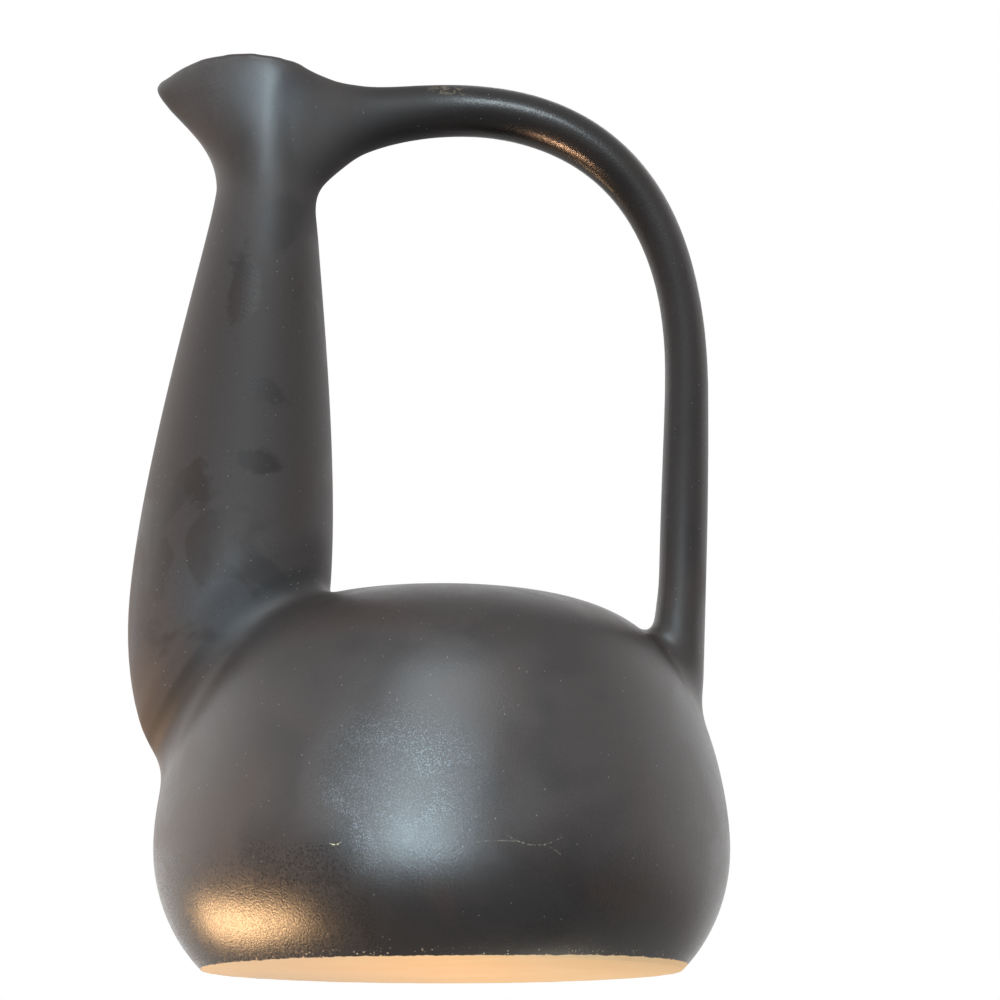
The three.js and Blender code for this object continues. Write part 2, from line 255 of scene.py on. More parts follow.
def finish_with(piece: bpy.types.Object, kind: str, **settings: Any) -> None:
    """Adds a modifier and applies it.

    Args:
        piece: The object that is changed.
        kind: The modifier's type.
        **settings: The modifier's values by name.
    """
    pick_up(piece)
    modifier = piece.modifiers.new(kind.lower(), kind)
    for key, value in settings.items():
        setattr(modifier, key, value)
    bpy.ops.object.modifier_apply(modifier=modifier.name)


def cut(piece: bpy.types.Object, way: Cut, tool: bpy.types.Object) -> None:
    """Joins a form to a piece, removes it from the piece, or keeps what both share."""
    finish_with(piece, "BOOLEAN", operation=way.value, object=tool, solver="MANIFOLD")


def cut_copy(piece: bpy.types.Object, name: str, way: Cut, tool: bpy.types.Object) -> bpy.types.Object:
    """A copy of a piece, cut by a form.

    Args:
        piece: What is copied.
        name: Name of the copy.
        way: How the form changes it.
        tool: The form.

    Returns:
        The cut copy.
    """
    part = copy_of(piece, name)
    cut(part, way, tool)
    return part


def keep_side(piece: bpy.types.Object, height: float, above: bool) -> None:
    """Cuts a closed piece at a height and closes the cut.

    Args:
        piece: What is cut.
        height: Height of the cut.
        above: Whether the part above is kept, or else the part below.
    """
    pick_up(piece)
    bpy.ops.object.mode_set(mode="EDIT")
    bpy.ops.mesh.select_all(action="SELECT")
    bpy.ops.mesh.bisect(
        plane_co=(0, 0, height),
        plane_no=(0, 0, 1),
        use_fill=True,
        clear_inner=above,
        clear_outer=not above,
    )
    put_down()


def select_where(form: bpy.types.Object, test: Callable[[Vector], bool]) -> None:
    """Selects the points of a form that pass a test.

    Args:
        form: The form, in edit mode.
        test: Says of a point's place whether the point is selected.
    """
    shape = bmesh.from_edit_mesh(form.data)
    for vert in shape.verts:
        vert.select = test(vert.co)
    shape.select_flush_mode()
    bmesh.update_edit_mesh(form.data)


# Forms


@dataclass
class DomeForm:
    """The squat body as a form of revolution.

    Attributes:
        radius: Widest radius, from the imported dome.
        height: Height of the crown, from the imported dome.
        others: Shape of the outline between foot, belly, shoulder and crown.
    """

    radius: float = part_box("body_dome")[1][0]
    height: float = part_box("body_dome")[1][2]
    foot_radius: float = 79.7 * MM
    foot_flare: Point = (8 * MM, 8 * MM)
    belly_height: float = 40 * MM
    belly_fullness: Point = (18 * MM, 16 * MM)
    shoulder_inset: float = 15 * MM
    shoulder_drop: float = 31 * MM
    shoulder_slope: float = math.radians(58)
    shoulder_fullness: Point = (17 * MM, 22 * MM)
    crown_fullness: float = 54 * MM
    wall: float = 5.5 * MM
    footing: float = 6 * MM
    sides: int = 160
    rows: int = 26

    def curves(self) -> list[list[Point]]:
        """Outline of the dome.

        Returns:
            Control points of three curves: foot to belly, belly to shoulder, shoulder to crown.
        """
        belly = (self.radius, self.belly_height)
        shoulder = (self.radius - self.shoulder_inset, self.height - self.shoulder_drop)
        run = (-math.cos(self.shoulder_slope), math.sin(self.shoulder_slope))
        below, above = self.shoulder_fullness
        foot = (self.foot_radius, 0.0)
        flare = (self.foot_radius + self.foot_flare[0], self.foot_flare[1])
        return [
            [foot, flare, (self.radius, self.belly_height - self.belly_fullness[0]), belly],
            [
                belly,
                (self.radius, self.belly_height + self.belly_fullness[1]),
                (shoulder[0] - below * run[0], shoulder[1] - below * run[1]),
                shoulder,
            ],
            [
                shoulder,
                (shoulder[0] + above * run[0], shoulder[1] + above * run[1]),
                (self.crown_fullness, self.height),
                (0.0, self.height),
            ],
        ]

    def outline(self, offset: float) -> list[Point]:
        """Outline moved straight outwards.

        Args:
            offset: How far it is moved, negative inwards.

        Returns:
            Points of radius and height from below the foot to near the crown.
        """
        points: list[Point] = []
        nudge = 0.25 / self.rows
        for curve in self.curves():
            for share in steps(0, 1, self.rows)[:-1]:
                here = cubic(curve, share)
                ahead = cubic(curve, share + nudge)
                run = math.hypot(ahead[0] - here[0], ahead[1] - here[1])
                out = ((ahead[1] - here[1]) / run, (here[0] - ahead[0]) / run)
                points.append((here[0] + offset * out[0], here[1] + offset * out[1]))
        foot = points[0]
        return [(foot[0] - self.footing, foot[1] - self.footing), *points]

    def build(self, name: str, offset: float = 0.0) -> bpy.types.Object:
        """Raises the dome, filled, grown by an offset."""
        rings = [Ring(0, z, radius, radius) for radius, z in self.outline(offset)]
        return raise_rings(name, rings, self.sides)


@dataclass
class NeckForm:
    """The leaning neck with its swollen foot, and the mouth with its beak.

    Attributes:
        neck_top: Height of the neck's cut top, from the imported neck.
        rim_top: Height of the mouth's crest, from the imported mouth.
        others: Shape of the outline and of the mouth.
    """

    dome: DomeForm
    neck_top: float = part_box("neck_tube")[1][2]
    rim_top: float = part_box("mouth_collar")[1][2]
    inset: float = 25.2 * MM
    lean: float = math.radians(4.9)
    wall: float = 5 * MM
    bulb_radius: float = 33.3 * MM
    bulb_sink: float = 3 * MM
    bulb_depth: float = 67.5 * MM
    bulb_fullness: float = 48.5 * MM
    throat_radius: float = 16.7 * MM
    throat_length: float = 29 * MM
    throat_fullness: float = 12 * MM
    side_flare: float = 2.8 * MM
    back_flare: float = 3.8 * MM
    beak_flare: float = 21.2 * MM
    beak_fullness: float = 14.5 * MM
    beak_slope: Point = (10 * MM, 12 * MM)
    beak_drop: float = 10.2 * MM
    beak_blunt: float = 2.4 * MM
    beak_pinch: float = 0.5
    beak_pinch_reach: float = 26 * MM
    crest_offset: float = 8 * MM
    rim_fullness: Point = (18 * MM, 11 * MM)
    rim_back_drop: float = 4.6 * MM
    rim_rise: float = 0.5 * MM
    margin: float = 14 * MM
    tip_room: Point = (0.2 * MM, 1 * MM)
    ring_room: float = 0.01 * MM
    first_ring: float = 1 * MM
    first_ring_share: float = 1.2
    sides: int = 112
    rows: int = 40
    mouth_rows: int = 26
    rim_rows: int = 24

    @property
    def throat(self) -> float:
        """Height of the narrowest place."""
        return self.neck_top + self.throat_length

    @property
    def beak_tip(self) -> float:
        """Height of the beak's tip."""
        return self.rim_top - self.beak_drop

    @property
    def waist(self) -> float:
        """Height of the widest place of the swollen foot."""
        return self.dome.height - self.bulb_sink

    def axis(self, z: float) -> float:
        """Place of the neck's axis along X at a height."""
        climb = min(z, self.throat) - self.dome.height
        return self.inset - self.dome.radius + math.tan(self.lean) * climb

    def radius_at(self, z: float) -> float:
        """Radius of the neck.

        Args:
            z: Height at which it is read.

        Returns:
            The radius there.
        """
        if z >= self.throat:
            return self.throat_radius
        bottom = self.waist - self.bulb_depth
        wide = self.bulb_radius
        quarter = 4 / 3 * (math.sqrt(2) - 1)
        if z < self.waist:
            low = (wide, self.waist - quarter * self.bulb_depth)
            return height_on([(0, bottom), (quarter * wide, bottom), low, (wide, self.waist)], z)
        full = (wide, self.waist + self.bulb_fullness)
        near = (self.throat_radius, self.throat - self.throat_fullness)
        return height_on([(wide, self.waist), full, near, (self.throat_radius, self.throat)], z)

    def reaches(self, z: float) -> tuple[float, float, float]:
        """Front, back and side reach of the mouth from its axis at a height.

        Args:
            z: The height.

        Returns:
            Reach towards the beak, towards the handle, and to the sides.
        """
        throat = (self.throat_radius, self.throat)
        tip = (self.throat_radius + self.beak_flare, self.beak_tip)
        low = (self.throat_radius, self.throat + self.beak_fullness)
        slope = (tip[0] - self.beak_slope[0], tip[1] - self.beak_slope[1])
        front = height_on([throat, low, slope, tip], min(z, self.beak_tip))
        rise = max(0.0, z - self.throat) / (self.rim_top - self.throat)
        radius = self.throat_radius
        return front, radius + self.back_flare * rise**2, radius + self.side_flare * rise**2

    def heights(self, low: float) -> list[float]:
        """Heights of the rings from low to above the rim."""
        top = self.rim_top + self.margin
        return steps(low, self.throat, self.rows) + steps(self.throat, top, self.mouth_rows)[1:]

    def build(self, name: str, offset: float = 0.0) -> bpy.types.Object:
        """Raises neck and mouth as one filled form, grown by an offset.

        Args:
            name: Name of the new object.
            offset: How far it is grown, negative inwards.

        Returns:
            The form, higher than the rim.
        """
        bottom = self.waist - self.bulb_depth
        low = bottom + max(self.first_ring, -offset) * self.first_ring_share
        rings = []
        for z in self.heights(low):
            radius = (self.radius_at(z) if z < self.throat else self.reaches(z)[2]) + offset
            rings.append(Ring(self.axis(z), z, radius, radius))
        form = raise_rings(name, rings, self.sides)
        self.flare_mouth(form, offset)
        return form

    def flare_mouth(self, form: bpy.types.Object, offset: float) -> None:
        """Draws the beak out of the round mouth, sets its back lip, and pinches the beak.

        Args:
            form: The neck with a round mouth.
            offset: How far it was grown, negative inwards.
        """
        axis = self.axis(self.throat)
        pick_up(form)
        bpy.ops.object.mode_set(mode="EDIT")
        bpy.ops.mesh.select_mode(type="VERT")
        for z in steps(self.throat, self.rim_top + self.margin, self.mouth_rows)[1:]:
            front, back, side = self.reaches(z)
            for reach, ahead in ((front, True), (back, False)):
                self.select_half_ring(form, z, axis, ahead)
                stretch = (reach + offset) / (side + offset)
                bpy.ops.transform.resize(value=(stretch, 1, 1), center_override=(axis, 0, z))
        tip = axis - self.throat_radius - self.beak_flare - offset
        edge, low = tip + self.tip_room[0], self.beak_tip - self.tip_room[1]
        select_where(form, lambda co: co.x < edge and co.z > low)
        bpy.ops.transform.resize(
            value=(1, 1 - self.beak_pinch, 1),
            center_override=(tip, 0, self.beak_tip),
            use_proportional_edit=True,
            proportional_edit_falloff="SMOOTH",
            proportional_size=self.beak_pinch_reach,
        )
        put_down()

    def select_half_ring(self, form: bpy.types.Object, z: float, axis: float, ahead: bool) -> None:
        """Selects the front or the back half of the ring at a height."""
        side = -1 if ahead else 1
        select_where(form, lambda co: abs(co.z - z) < self.ring_room and side * (co.x - axis) > 0)

    def above_rim(self, name: str) -> bpy.types.Object:
        """Everything above the rim: the line climbs from the beak to a crest and falls to the back.

        Args:
            name: Name of the new object.

        Returns:
            A block with the rim's line as its underside.
        """
        axis = self.axis(self.throat)
        tip = axis - self.throat_radius - self.beak_flare
        crest = axis - self.crest_offset
        back = axis + self.throat_radius + self.back_flare
        top = self.rim_top + self.rim_rise
        low = top - self.rim_back_drop
        lip = (tip, self.beak_tip + self.beak_blunt)
        front = raised([lip, (crest - self.rim_fullness[0], top), (crest, top)])
        rear = raised([(crest, top), (crest + self.rim_fullness[1], top), (back, low)])
        shares = steps(0, 1, self.rim_rows)
        line = [cubic(front, share) for share in shares] + [cubic(rear, share) for share in shares[1:]]
        slope = (line[1][1] - line[0][1]) / (line[1][0] - line[0][0])
        line.insert(0, (tip - self.margin, lip[1] - self.margin * slope))
        line.append((back + self.margin, low))
        return self.ribbon_block(name, line)

    def ribbon_block(self, name: str, line: Sequence[Point]) -> bpy.types.Object:
        """A block whose underside follows a line of x and z, run across the whole mouth.

        Args:
            name: Name of the new object.
            line: Points of the line.

        Returns:
            The closed block.
        """
        width = 2 * (self.throat_radius + self.margin)
        put_down()
        bpy.ops.mesh.primitive_plane_add(size=width, location=(line[0][0], 0, line[0][1]))
        made = bpy.context.active_object
        made.name = name
        bpy.ops.object.transform_apply(location=True, rotation=True, scale=True)
        bpy.ops.object.mode_set(mode="EDIT")
        bpy.ops.mesh.select_mode(type="VERT")
        select_where(made, lambda co: co.x > line[0][0])
        bpy.ops.mesh.delete(type="VERT")
        bpy.ops.mesh.select_all(action="SELECT")
        bpy.ops.transform.translate(value=(width / 2, 0, 0))
        for last, here in zip(line, line[1:]):
            move = (here[0] - last[0], 0, here[1] - last[1])
            bpy.ops.mesh.extrude_region_move(TRANSFORM_OT_translate={"value": move})
        bpy.ops.mesh.select_all(action="SELECT")
        bpy.ops.mesh.extrude_region_move(TRANSFORM_OT_translate={"value": (0, 0, 3 * self.margin)})
        bpy.ops.mesh.select_all(action="SELECT")
        bpy.ops.mesh.normals_make_consistent(inside=False)
        put_down()
        return made


@dataclass
class HandleForm:
    """The round rod that arches from the mouth's back to the dome's shoulder.

    Attributes:
        neck: The form it leaves.
        dome: The form it lands on.
        others: Thickness and route of the rod.
    """

    neck: NeckForm
    dome: DomeForm
    top_radius: float = 8.45 * MM
    leg_radius: float = 6.9 * MM
    slim_span: Point = (88 * MM, 172 * MM)
    depth_extra: float = 0.4 * MM
    drop: float = 16.4 * MM
    root_drop: float = 5 * MM
    root_run: Point = (30 * MM, 21 * MM)
    root_flare: float = 10.8 * MM
    root_spread: float = 5 * MM
    root_length: float = 25.5 * MM
    brace: float = 11 * MM
    brace_length: float = 32 * MM
    run_in: float = 46.8 * MM
    arch_drop: float = 92 * MM
    arch_fullness: Point = (35.0 * MM, 74.5 * MM)
    leg_inset: float = 14.0 * MM
    leg_bend: float = 0.15
    foot_inset: float = 17.3 * MM
    foot_sink: float = 56 * MM
    foot_flare: float = 1.0 * MM
    foot_span: Point = (158 * MM, 70 * MM)
    fillet: float = 12 * MM
    fillet_length: float = 60 * MM
    sides: int = 48
    rows: int = 40

    def curves(self) -> list[list[Point]]:
        """Centreline of the rod.

        Returns:
            Control points of three curves: out of the mouth, over the arch, down into the dome.
        """
        mouth = self.neck.axis(self.neck.throat)
        top = self.neck.rim_top - self.drop
        arch = (mouth + self.neck.throat_radius + self.run_in, top)
        leg = (self.dome.radius - self.leg_inset, top - self.arch_drop)
        foot = (self.dome.radius - self.foot_inset, self.dome.height - self.foot_sink)
        root = (mouth, top - self.root_drop)
        return [
            [root, (mouth + self.root_run[0], root[1]), (arch[0] - self.root_run[1], top), arch],
            [arch, (arch[0] + self.arch_fullness[0], top), (leg[0], leg[1] + self.arch_fullness[1]), leg],
            raised([leg, (leg[0], leg[1] + self.leg_bend * (foot[1] - leg[1])), foot]),
        ]

    def ring(self, place: Point, tilt: float, gone: float, left: float) -> Ring:
        """Ring of the rod at a place on its centreline.

        Args:
            place: The place, x and z.
            tilt: Turn of the centreline there.
            gone: Length of the rod before it.
            left: Length of the rod after it.

        Returns:
            The ring, wider towards both ends of the rod.
        """
        slim = smoothstep(gone, *self.slim_span)
        foot = smoothstep(left, *self.foot_span)
        fill = self.fillet * max(0.0, 1 - left / self.fillet_length) ** 2
        rod = self.top_radius + slim * (self.leg_radius - self.top_radius)
        rod = rod + self.foot_flare * foot + fill
        root = 1 / (1 + (gone / self.root_length) ** 4)
        brace = self.brace * max(0.0, 1 - gone / self.brace_length) ** 2
        across = rod + self.root_flare * root + brace
        deep = rod + self.depth_extra + self.root_spread * root
        return Ring(place[0] - fill, place[1] - brace, across, deep, tilt % (2 * math.pi))

    def build(self, name: str) -> bpy.types.Object:
        """Raises the rod along its centreline, flared at both ends.

        Args:
            name: Name of the new object.

        Returns:
            The rod.
        """
        route = [cubic(curve, share) for curve in self.curves() for share in steps(0, 1, self.rows)[:-1]]
        route.append(self.curves()[-1][-1])
        lengths = [0.0]
        for last, here in zip(route, route[1:]):
            lengths.append(lengths[-1] + math.hypot(here[0] - last[0], here[1] - last[1]))
        rings = []
        for i, (place, gone) in enumerate(zip(route, lengths)):
            before, after = route[max(0, i - 1)], route[min(len(route) - 1, i + 1)]
            tilt = math.atan2(after[0] - before[0], after[1] - before[1])
            rings.append(self.ring(place, tilt, gone, lengths[-1] - gone))
        return raise_rings(name, rings, self.sides)


@dataclass(frozen=True)
class Joint:
    """A line where two clay forms meet, and how softly it is worked over.

    Attributes:
        name: Name of the joint.
        low: Lowest corner of the room it lies in.
        high: Highest corner of that room.
        reach: How far from the line the clay is worked.
        passes: How often it is smoothed.
    """

    name: str
    low: tuple[float, float, float]
    high: tuple[float, float, float]
    reach: float
    passes: int


@dataclass
class ClayMass:
    """All the clay forms worked into one smooth mass, from which the pieces are cut."""

    dome: DomeForm
    neck: NeckForm
    handle: HandleForm
    voxel: float = 1.2 * MM
    sharpness: float = math.radians(16)
    fairing: tuple[float, float] = (0.5, -0.52)
    fairing_rounds: int = 5
    joints: tuple[Joint, ...] = (
        Joint("neck_valley", (-0.110, -0.05, 0.050), (-0.046, 0.05, 0.140), 18 * MM, 220),
        Joint("neck_corner", (-0.050, -0.05, 0.110), (-0.020, 0.05, 0.140), 5 * MM, 8),
        Joint("handle_root", (-0.062, -0.03, 0.240), (-0.030, 0.03, 0.288), 16 * MM, 140),
        Joint("handle_back", (-0.054, -0.03, 0.285), (-0.024, 0.03, 0.2988), 12 * MM, 120),
        Joint("handle_foot", (0.055, -0.03, 0.060), (0.100, 0.03, 0.130), 12 * MM, 140),
        Joint("rim", (-0.110, -0.03, 0.286), (-0.036, 0.03, 0.310), 7 * MM, 40),
    )
    softness: float = 0.5
    crisp_angle: float = math.radians(50)

    def build(self) -> bpy.types.Object:
        """Joins the forms, opens the neck, and works the joints over.

        Returns:
            The smooth mass, solid but for the neck's bore.
        """
        mass = self.dome.build("clay_mass")
        neck = self.neck.build("neck_form")
        rim = self.neck.above_rim("rim_form")
        handle = self.handle.build("handle_form")
        bore = self.neck.build("bore_form", -self.neck.wall)
        cut(neck, Cut.REMOVE, rim)
        cut(mass, Cut.JOIN, neck)
        cut(mass, Cut.JOIN, handle)
        cut(mass, Cut.REMOVE, bore)
        lines = [self.joint_line(mass, joint) for joint in self.joints]
        throw_away(neck, rim, handle, bore)
        finish_with(mass, "REMESH", mode="VOXEL", voxel_size=self.voxel, use_smooth_shade=True)
        self.fair(mass)
        for joint, line in zip(self.joints, lines):
            self.work_over(mass, joint, line)
        self.fair(mass)
        throw_away(*lines)
        self.level(mass)
        return mass

    def fair(self, mass: bpy.types.Object) -> None:
        """Takes the steps out of a surface without shrinking it."""
        for _ in range(self.fairing_rounds):
            for factor in self.fairing:
                finish_with(mass, "SMOOTH", factor=factor, iterations=1)

    def joint_line(self, mass: bpy.types.Object, joint: Joint) -> bpy.types.Object:
        """The sharp edges of the joined forms in a joint's room.

        Args:
            mass: The joined forms.
            joint: The joint that is looked for.

        Returns:
            An object with only those edges.
        """
        line = copy_of(mass, joint.name)
        pick_up(line)
        bpy.ops.object.mode_set(mode="EDIT")
        bpy.ops.mesh.select_mode(type="EDGE")
        bpy.ops.mesh.select_all(action="DESELECT")
        bpy.ops.mesh.edges_select_sharp(sharpness=self.sharpness)
        shape = bmesh.from_edit_mesh(line.data)
        for edge in shape.edges:
            middle = (edge.verts[0].co + edge.verts[1].co) / 2
            inside = all(low < c < high for low, c, high in zip(joint.low, middle, joint.high))
            edge.select = edge.select and inside
        shape.select_flush_mode()
        bmesh.update_edit_mesh(line.data)
        bpy.ops.mesh.select_all(action="INVERT")
        bpy.ops.mesh.delete(type="EDGE")
        put_down()
        return line

    def work_over(self, mass: bpy.types.Object, joint: Joint, line: bpy.types.Object) -> None:
        """Smooths the clay along a joint, most on the line itself.

        Args:
            mass: The clay.
            joint: How the joint is worked over.
            line: Edges along which the forms met.
        """
        group = mass.vertex_groups.new(name=joint.name)
        group.add(range(len(mass.data.vertices)), 1.0, "REPLACE")
        finish_with(
            mass,
            "VERTEX_WEIGHT_PROXIMITY",
            vertex_group=joint.name,
            target=line,
            proximity_mode="GEOMETRY",
            proximity_geometry={"EDGE"},
            min_dist=joint.reach,
            max_dist=0.0,
            falloff_type="SMOOTH",
        )
        finish_with(mass, "SMOOTH", factor=self.softness, iterations=joint.passes, vertex_group=joint.name)

    def level(self, mass: bpy.types.Object) -> None:
        """Cuts the mass flat where it stands, with a crisp edge round its foot."""
        keep_side(mass, 0.0, above=True)
        pick_up(mass)
        bpy.ops.object.shade_smooth_by_angle(angle=self.crisp_angle)


@dataclass
class PartedClay:
    """The mass hollowed out, with the forms that part it along the lines where it was luted."""

    dome: DomeForm
    neck: NeckForm
    mass: bpy.types.Object
    slab_top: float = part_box("base_slab")[1][2]
    seam: float = 1.2 * MM
    band: float = 8 * MM
    root_band: float = 7 * MM

    def __post_init__(self) -> None:
        """Parts the slab from the wall, hollows the wall, and makes the forms that part the rest."""
        self.slab = copy_of(self.mass, "base_slab_clay")
        keep_side(self.slab, self.slab_top, above=False)
        self.wall = copy_of(self.mass, "wall_clay")
        keep_side(self.wall, self.slab_top, above=True)
        cavity = self.dome.build("cavity_form", -self.dome.wall)
        cut(self.wall, Cut.REMOVE, cavity)
        self.near_dome = self.dome.build("near_dome_form", self.seam)
        self.off_dome = self.dome.build("off_dome_form", self.band)
        self.near_neck = self.neck.build("near_neck_form", self.seam)
        self.off_neck = self.neck.build("off_neck_form", self.root_band)
        self.bands = cut_copy(self.wall, "band_clay", Cut.KEEP, self.off_dome)
        cut(self.bands, Cut.REMOVE, self.near_dome)
        self.upright = cut_copy(self.wall, "upright_clay", Cut.REMOVE, self.off_dome)
        throw_away(cavity)

    def band_towards(self, name: str, handle_side: bool) -> bpy.types.Object:
        """The luting band on the dome that lies towards the handle, or the one towards the neck.

        Args:
            name: Name of the new object.
            handle_side: Whether it is the one towards the handle.

        Returns:
            The band.
        """
        piece = copy_of(self.bands, name)
        pick_up(piece)
        bpy.ops.object.mode_set(mode="EDIT")
        bpy.ops.mesh.select_mode(type="VERT")
        select_where(piece, lambda co: (co.x > 0) != handle_side)
        bpy.ops.mesh.delete(type="VERT")
        put_down()
        return piece

    def put_away(self) -> None:
        """Removes what was only needed for cutting."""
        throw_away(
            self.mass, self.wall, self.bands, self.upright,
            self.near_dome, self.off_dome, self.near_neck, self.off_neck,
        )


@dataclass
class SubAssembly:
    """Pieces that belong together, and how they are finished and set in the frame."""

    parted: PartedClay
    glaze: bpy.types.Material
    normal_reach: float = 0.05 * MM

    def dress(self, piece: bpy.types.Object, node: str, slot: Slot) -> None:
        """Gives a cut piece the mass's own shading and its finish, and sets it in place of its node.

        Args:
            piece: The piece.
            node: The node that it stands for.
            slot: The record's slot for its finish.
        """
        pick_up(piece)
        bpy.ops.object.shade_smooth()
        finish_with(
            piece,
            "DATA_TRANSFER",
            object=self.parted.mass,
            use_loop_data=True,
            data_types_loops={"CUSTOM_NORMAL"},
            loop_mapping="POLYINTERP_NEAREST",
            use_max_distance=True,
            max_distance=self.normal_reach,
        )
        self.hand_over(piece, node, slot)

    def hand_over(self, piece: bpy.types.Object, node: str, slot: Slot) -> None:
        """Glazes a piece and sets it in place of its node.

        Args:
            piece: The piece.
            node: The node that it stands for.
            slot: The record's slot for its finish; not used.
        """
        piece.data.materials.clear()
        piece.data.materials.append(self.glaze)
        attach(piece, "root")
        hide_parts(node)
        log.info("%s: %d faces", piece.name, len(piece.data.polygons))


@dataclass
class Body(SubAssembly):
    """The flat slab that it stands on, and the dome above it."""

    def build(self) -> None:
        """Cuts and dresses the slab and the dome."""
        self.dress(self.parted.slab, "base_slab", Slot.CLAY)
        dome = cut_copy(self.parted.wall, "body_dome_clay", Cut.KEEP, self.parted.near_dome)
        self.dress(dome, "body_dome", Slot.GLAZE)


@dataclass
class Neck(SubAssembly):
    """The tapering neck, and the coil that lutes it to the dome."""

    def build(self) -> None:
        """Cuts and dresses the coil and the tube."""
        coil = self.parted.band_towards("neck_luting_coil_clay", handle_side=False)
        self.dress(coil, "neck_luting_coil", Slot.GLAZE)
        tube = cut_copy(self.parted.upright, "neck_tube_clay", Cut.KEEP, self.parted.near_neck)
        keep_side(tube, self.parted.neck.neck_top, above=False)
        self.dress(tube, "neck_tube", Slot.GLAZE)


@dataclass
class Mouth(SubAssembly):
    """The flared mouth with its beak, and the coil that lutes it to the neck from inside."""

    coil_height: float = 9 * MM
    coil_thickness: float = 2 * MM
    coil_edge: float = 0.4 * MM
    coil_rows: int = 12
    crisp_angle: float = math.radians(40)

    def build(self) -> None:
        """Cuts and dresses the mouth, and lays the coil over its seam."""
        mouth = cut_copy(self.parted.upright, "mouth_collar_clay", Cut.KEEP, self.parted.near_neck)
        keep_side(mouth, self.parted.neck.neck_top, above=True)
        self.dress(mouth, "mouth_collar", Slot.GLAZE)
        coil = self.lay_coil()
        pick_up(coil)
        bpy.ops.object.shade_smooth_by_angle(angle=self.crisp_angle)
        self.hand_over(coil, "mouth_luting_coil", Slot.GLAZE)

    def lay_coil(self) -> bpy.types.Object:
        """A flattened ring of clay, worked on to the bore at the seam.

        Returns:
            The ring, thickest at the seam.
        """
        neck = self.parted.neck
        outer, inner = [], []
        for share in steps(-1, 1, self.coil_rows):
            z = neck.neck_top + share * self.coil_height / 2
            bore = neck.radius_at(z) - neck.wall
            depth = self.coil_edge + (self.coil_thickness - self.coil_edge) * math.cos(share * math.pi / 2)
            outer.append(Ring(neck.axis(z), z, bore + self.coil_edge, bore + self.coil_edge))
            inner.append(Ring(neck.axis(z), z, bore - depth, bore - depth))
        past = self.coil_height
        inner.insert(0, Ring(inner[0].x, inner[0].z - past, inner[0].across, inner[0].deep))
        inner.append(Ring(inner[-1].x, inner[-1].z + past, inner[-1].across, inner[-1].deep))
        coil = raise_rings("mouth_luting_coil_clay", outer, neck.sides)
        hole = raise_rings("coil_hole_form", inner, neck.sides)
        cut(coil, Cut.REMOVE, hole)
        throw_away(hole)
        return coil


@dataclass
class Handle(SubAssembly):
    """The arched rod, and the coils that lute it to the mouth and to the dome."""

    def build(self) -> None:
        """Cuts and dresses the rod and its two coils."""
        rod = cut_copy(self.parted.upright, "handle_clay", Cut.REMOVE, self.parted.off_neck)
        root = cut_copy(self.parted.upright, "handle_root_coil_clay", Cut.KEEP, self.parted.off_neck)
        cut(root, Cut.REMOVE, self.parted.near_neck)
        foot = self.parted.band_towards("handle_foot_coil_clay", handle_side=True)
        self.dress(rod, "handle", Slot.GLAZE)
        self.dress(root, "handle_root_coil", Slot.GLAZE)
        self.dress(foot, "handle_foot_coil", Slot.GLAZE)


# Finishes


class Value:
    """A shader socket that takes part in Python expressions."""

    def __init__(self, paint: "Paint", socket: bpy.types.NodeSocket) -> None:
        """Wraps an output socket."""
        self.paint = paint
        self.socket = socket

    def out(self, name: str) -> "Value":
        """Another output of the same node."""
        return Value(self.paint, self.socket.node.outputs[name])

    def __add__(self, other: "Value | float") -> "Value":
        """Sum."""
        return self.paint.maths("ADD", self, other)

    def __sub__(self, other: "Value | float") -> "Value":
        """Difference."""
        return self.paint.maths("SUBTRACT", self, other)

    def __rsub__(self, other: float) -> "Value":
        """Difference from a number."""
        return self.paint.maths("SUBTRACT", other, self)

    def __mul__(self, other: "Value | float") -> "Value":
        """Product."""
        return self.paint.maths("MULTIPLY", self, other)

    def __truediv__(self, other: "Value | float") -> "Value":
        """Quotient."""
        return self.paint.maths("DIVIDE", self, other)

    def __pow__(self, other: float) -> "Value":
        """Power."""
        return self.paint.maths("POWER", self, other)

    def __abs__(self) -> "Value":
        """Size without sign."""
        return self.paint.maths("ABSOLUTE", self)

    __radd__ = __add__
    __rmul__ = __mul__


Entry = Value | float | Sequence[float]


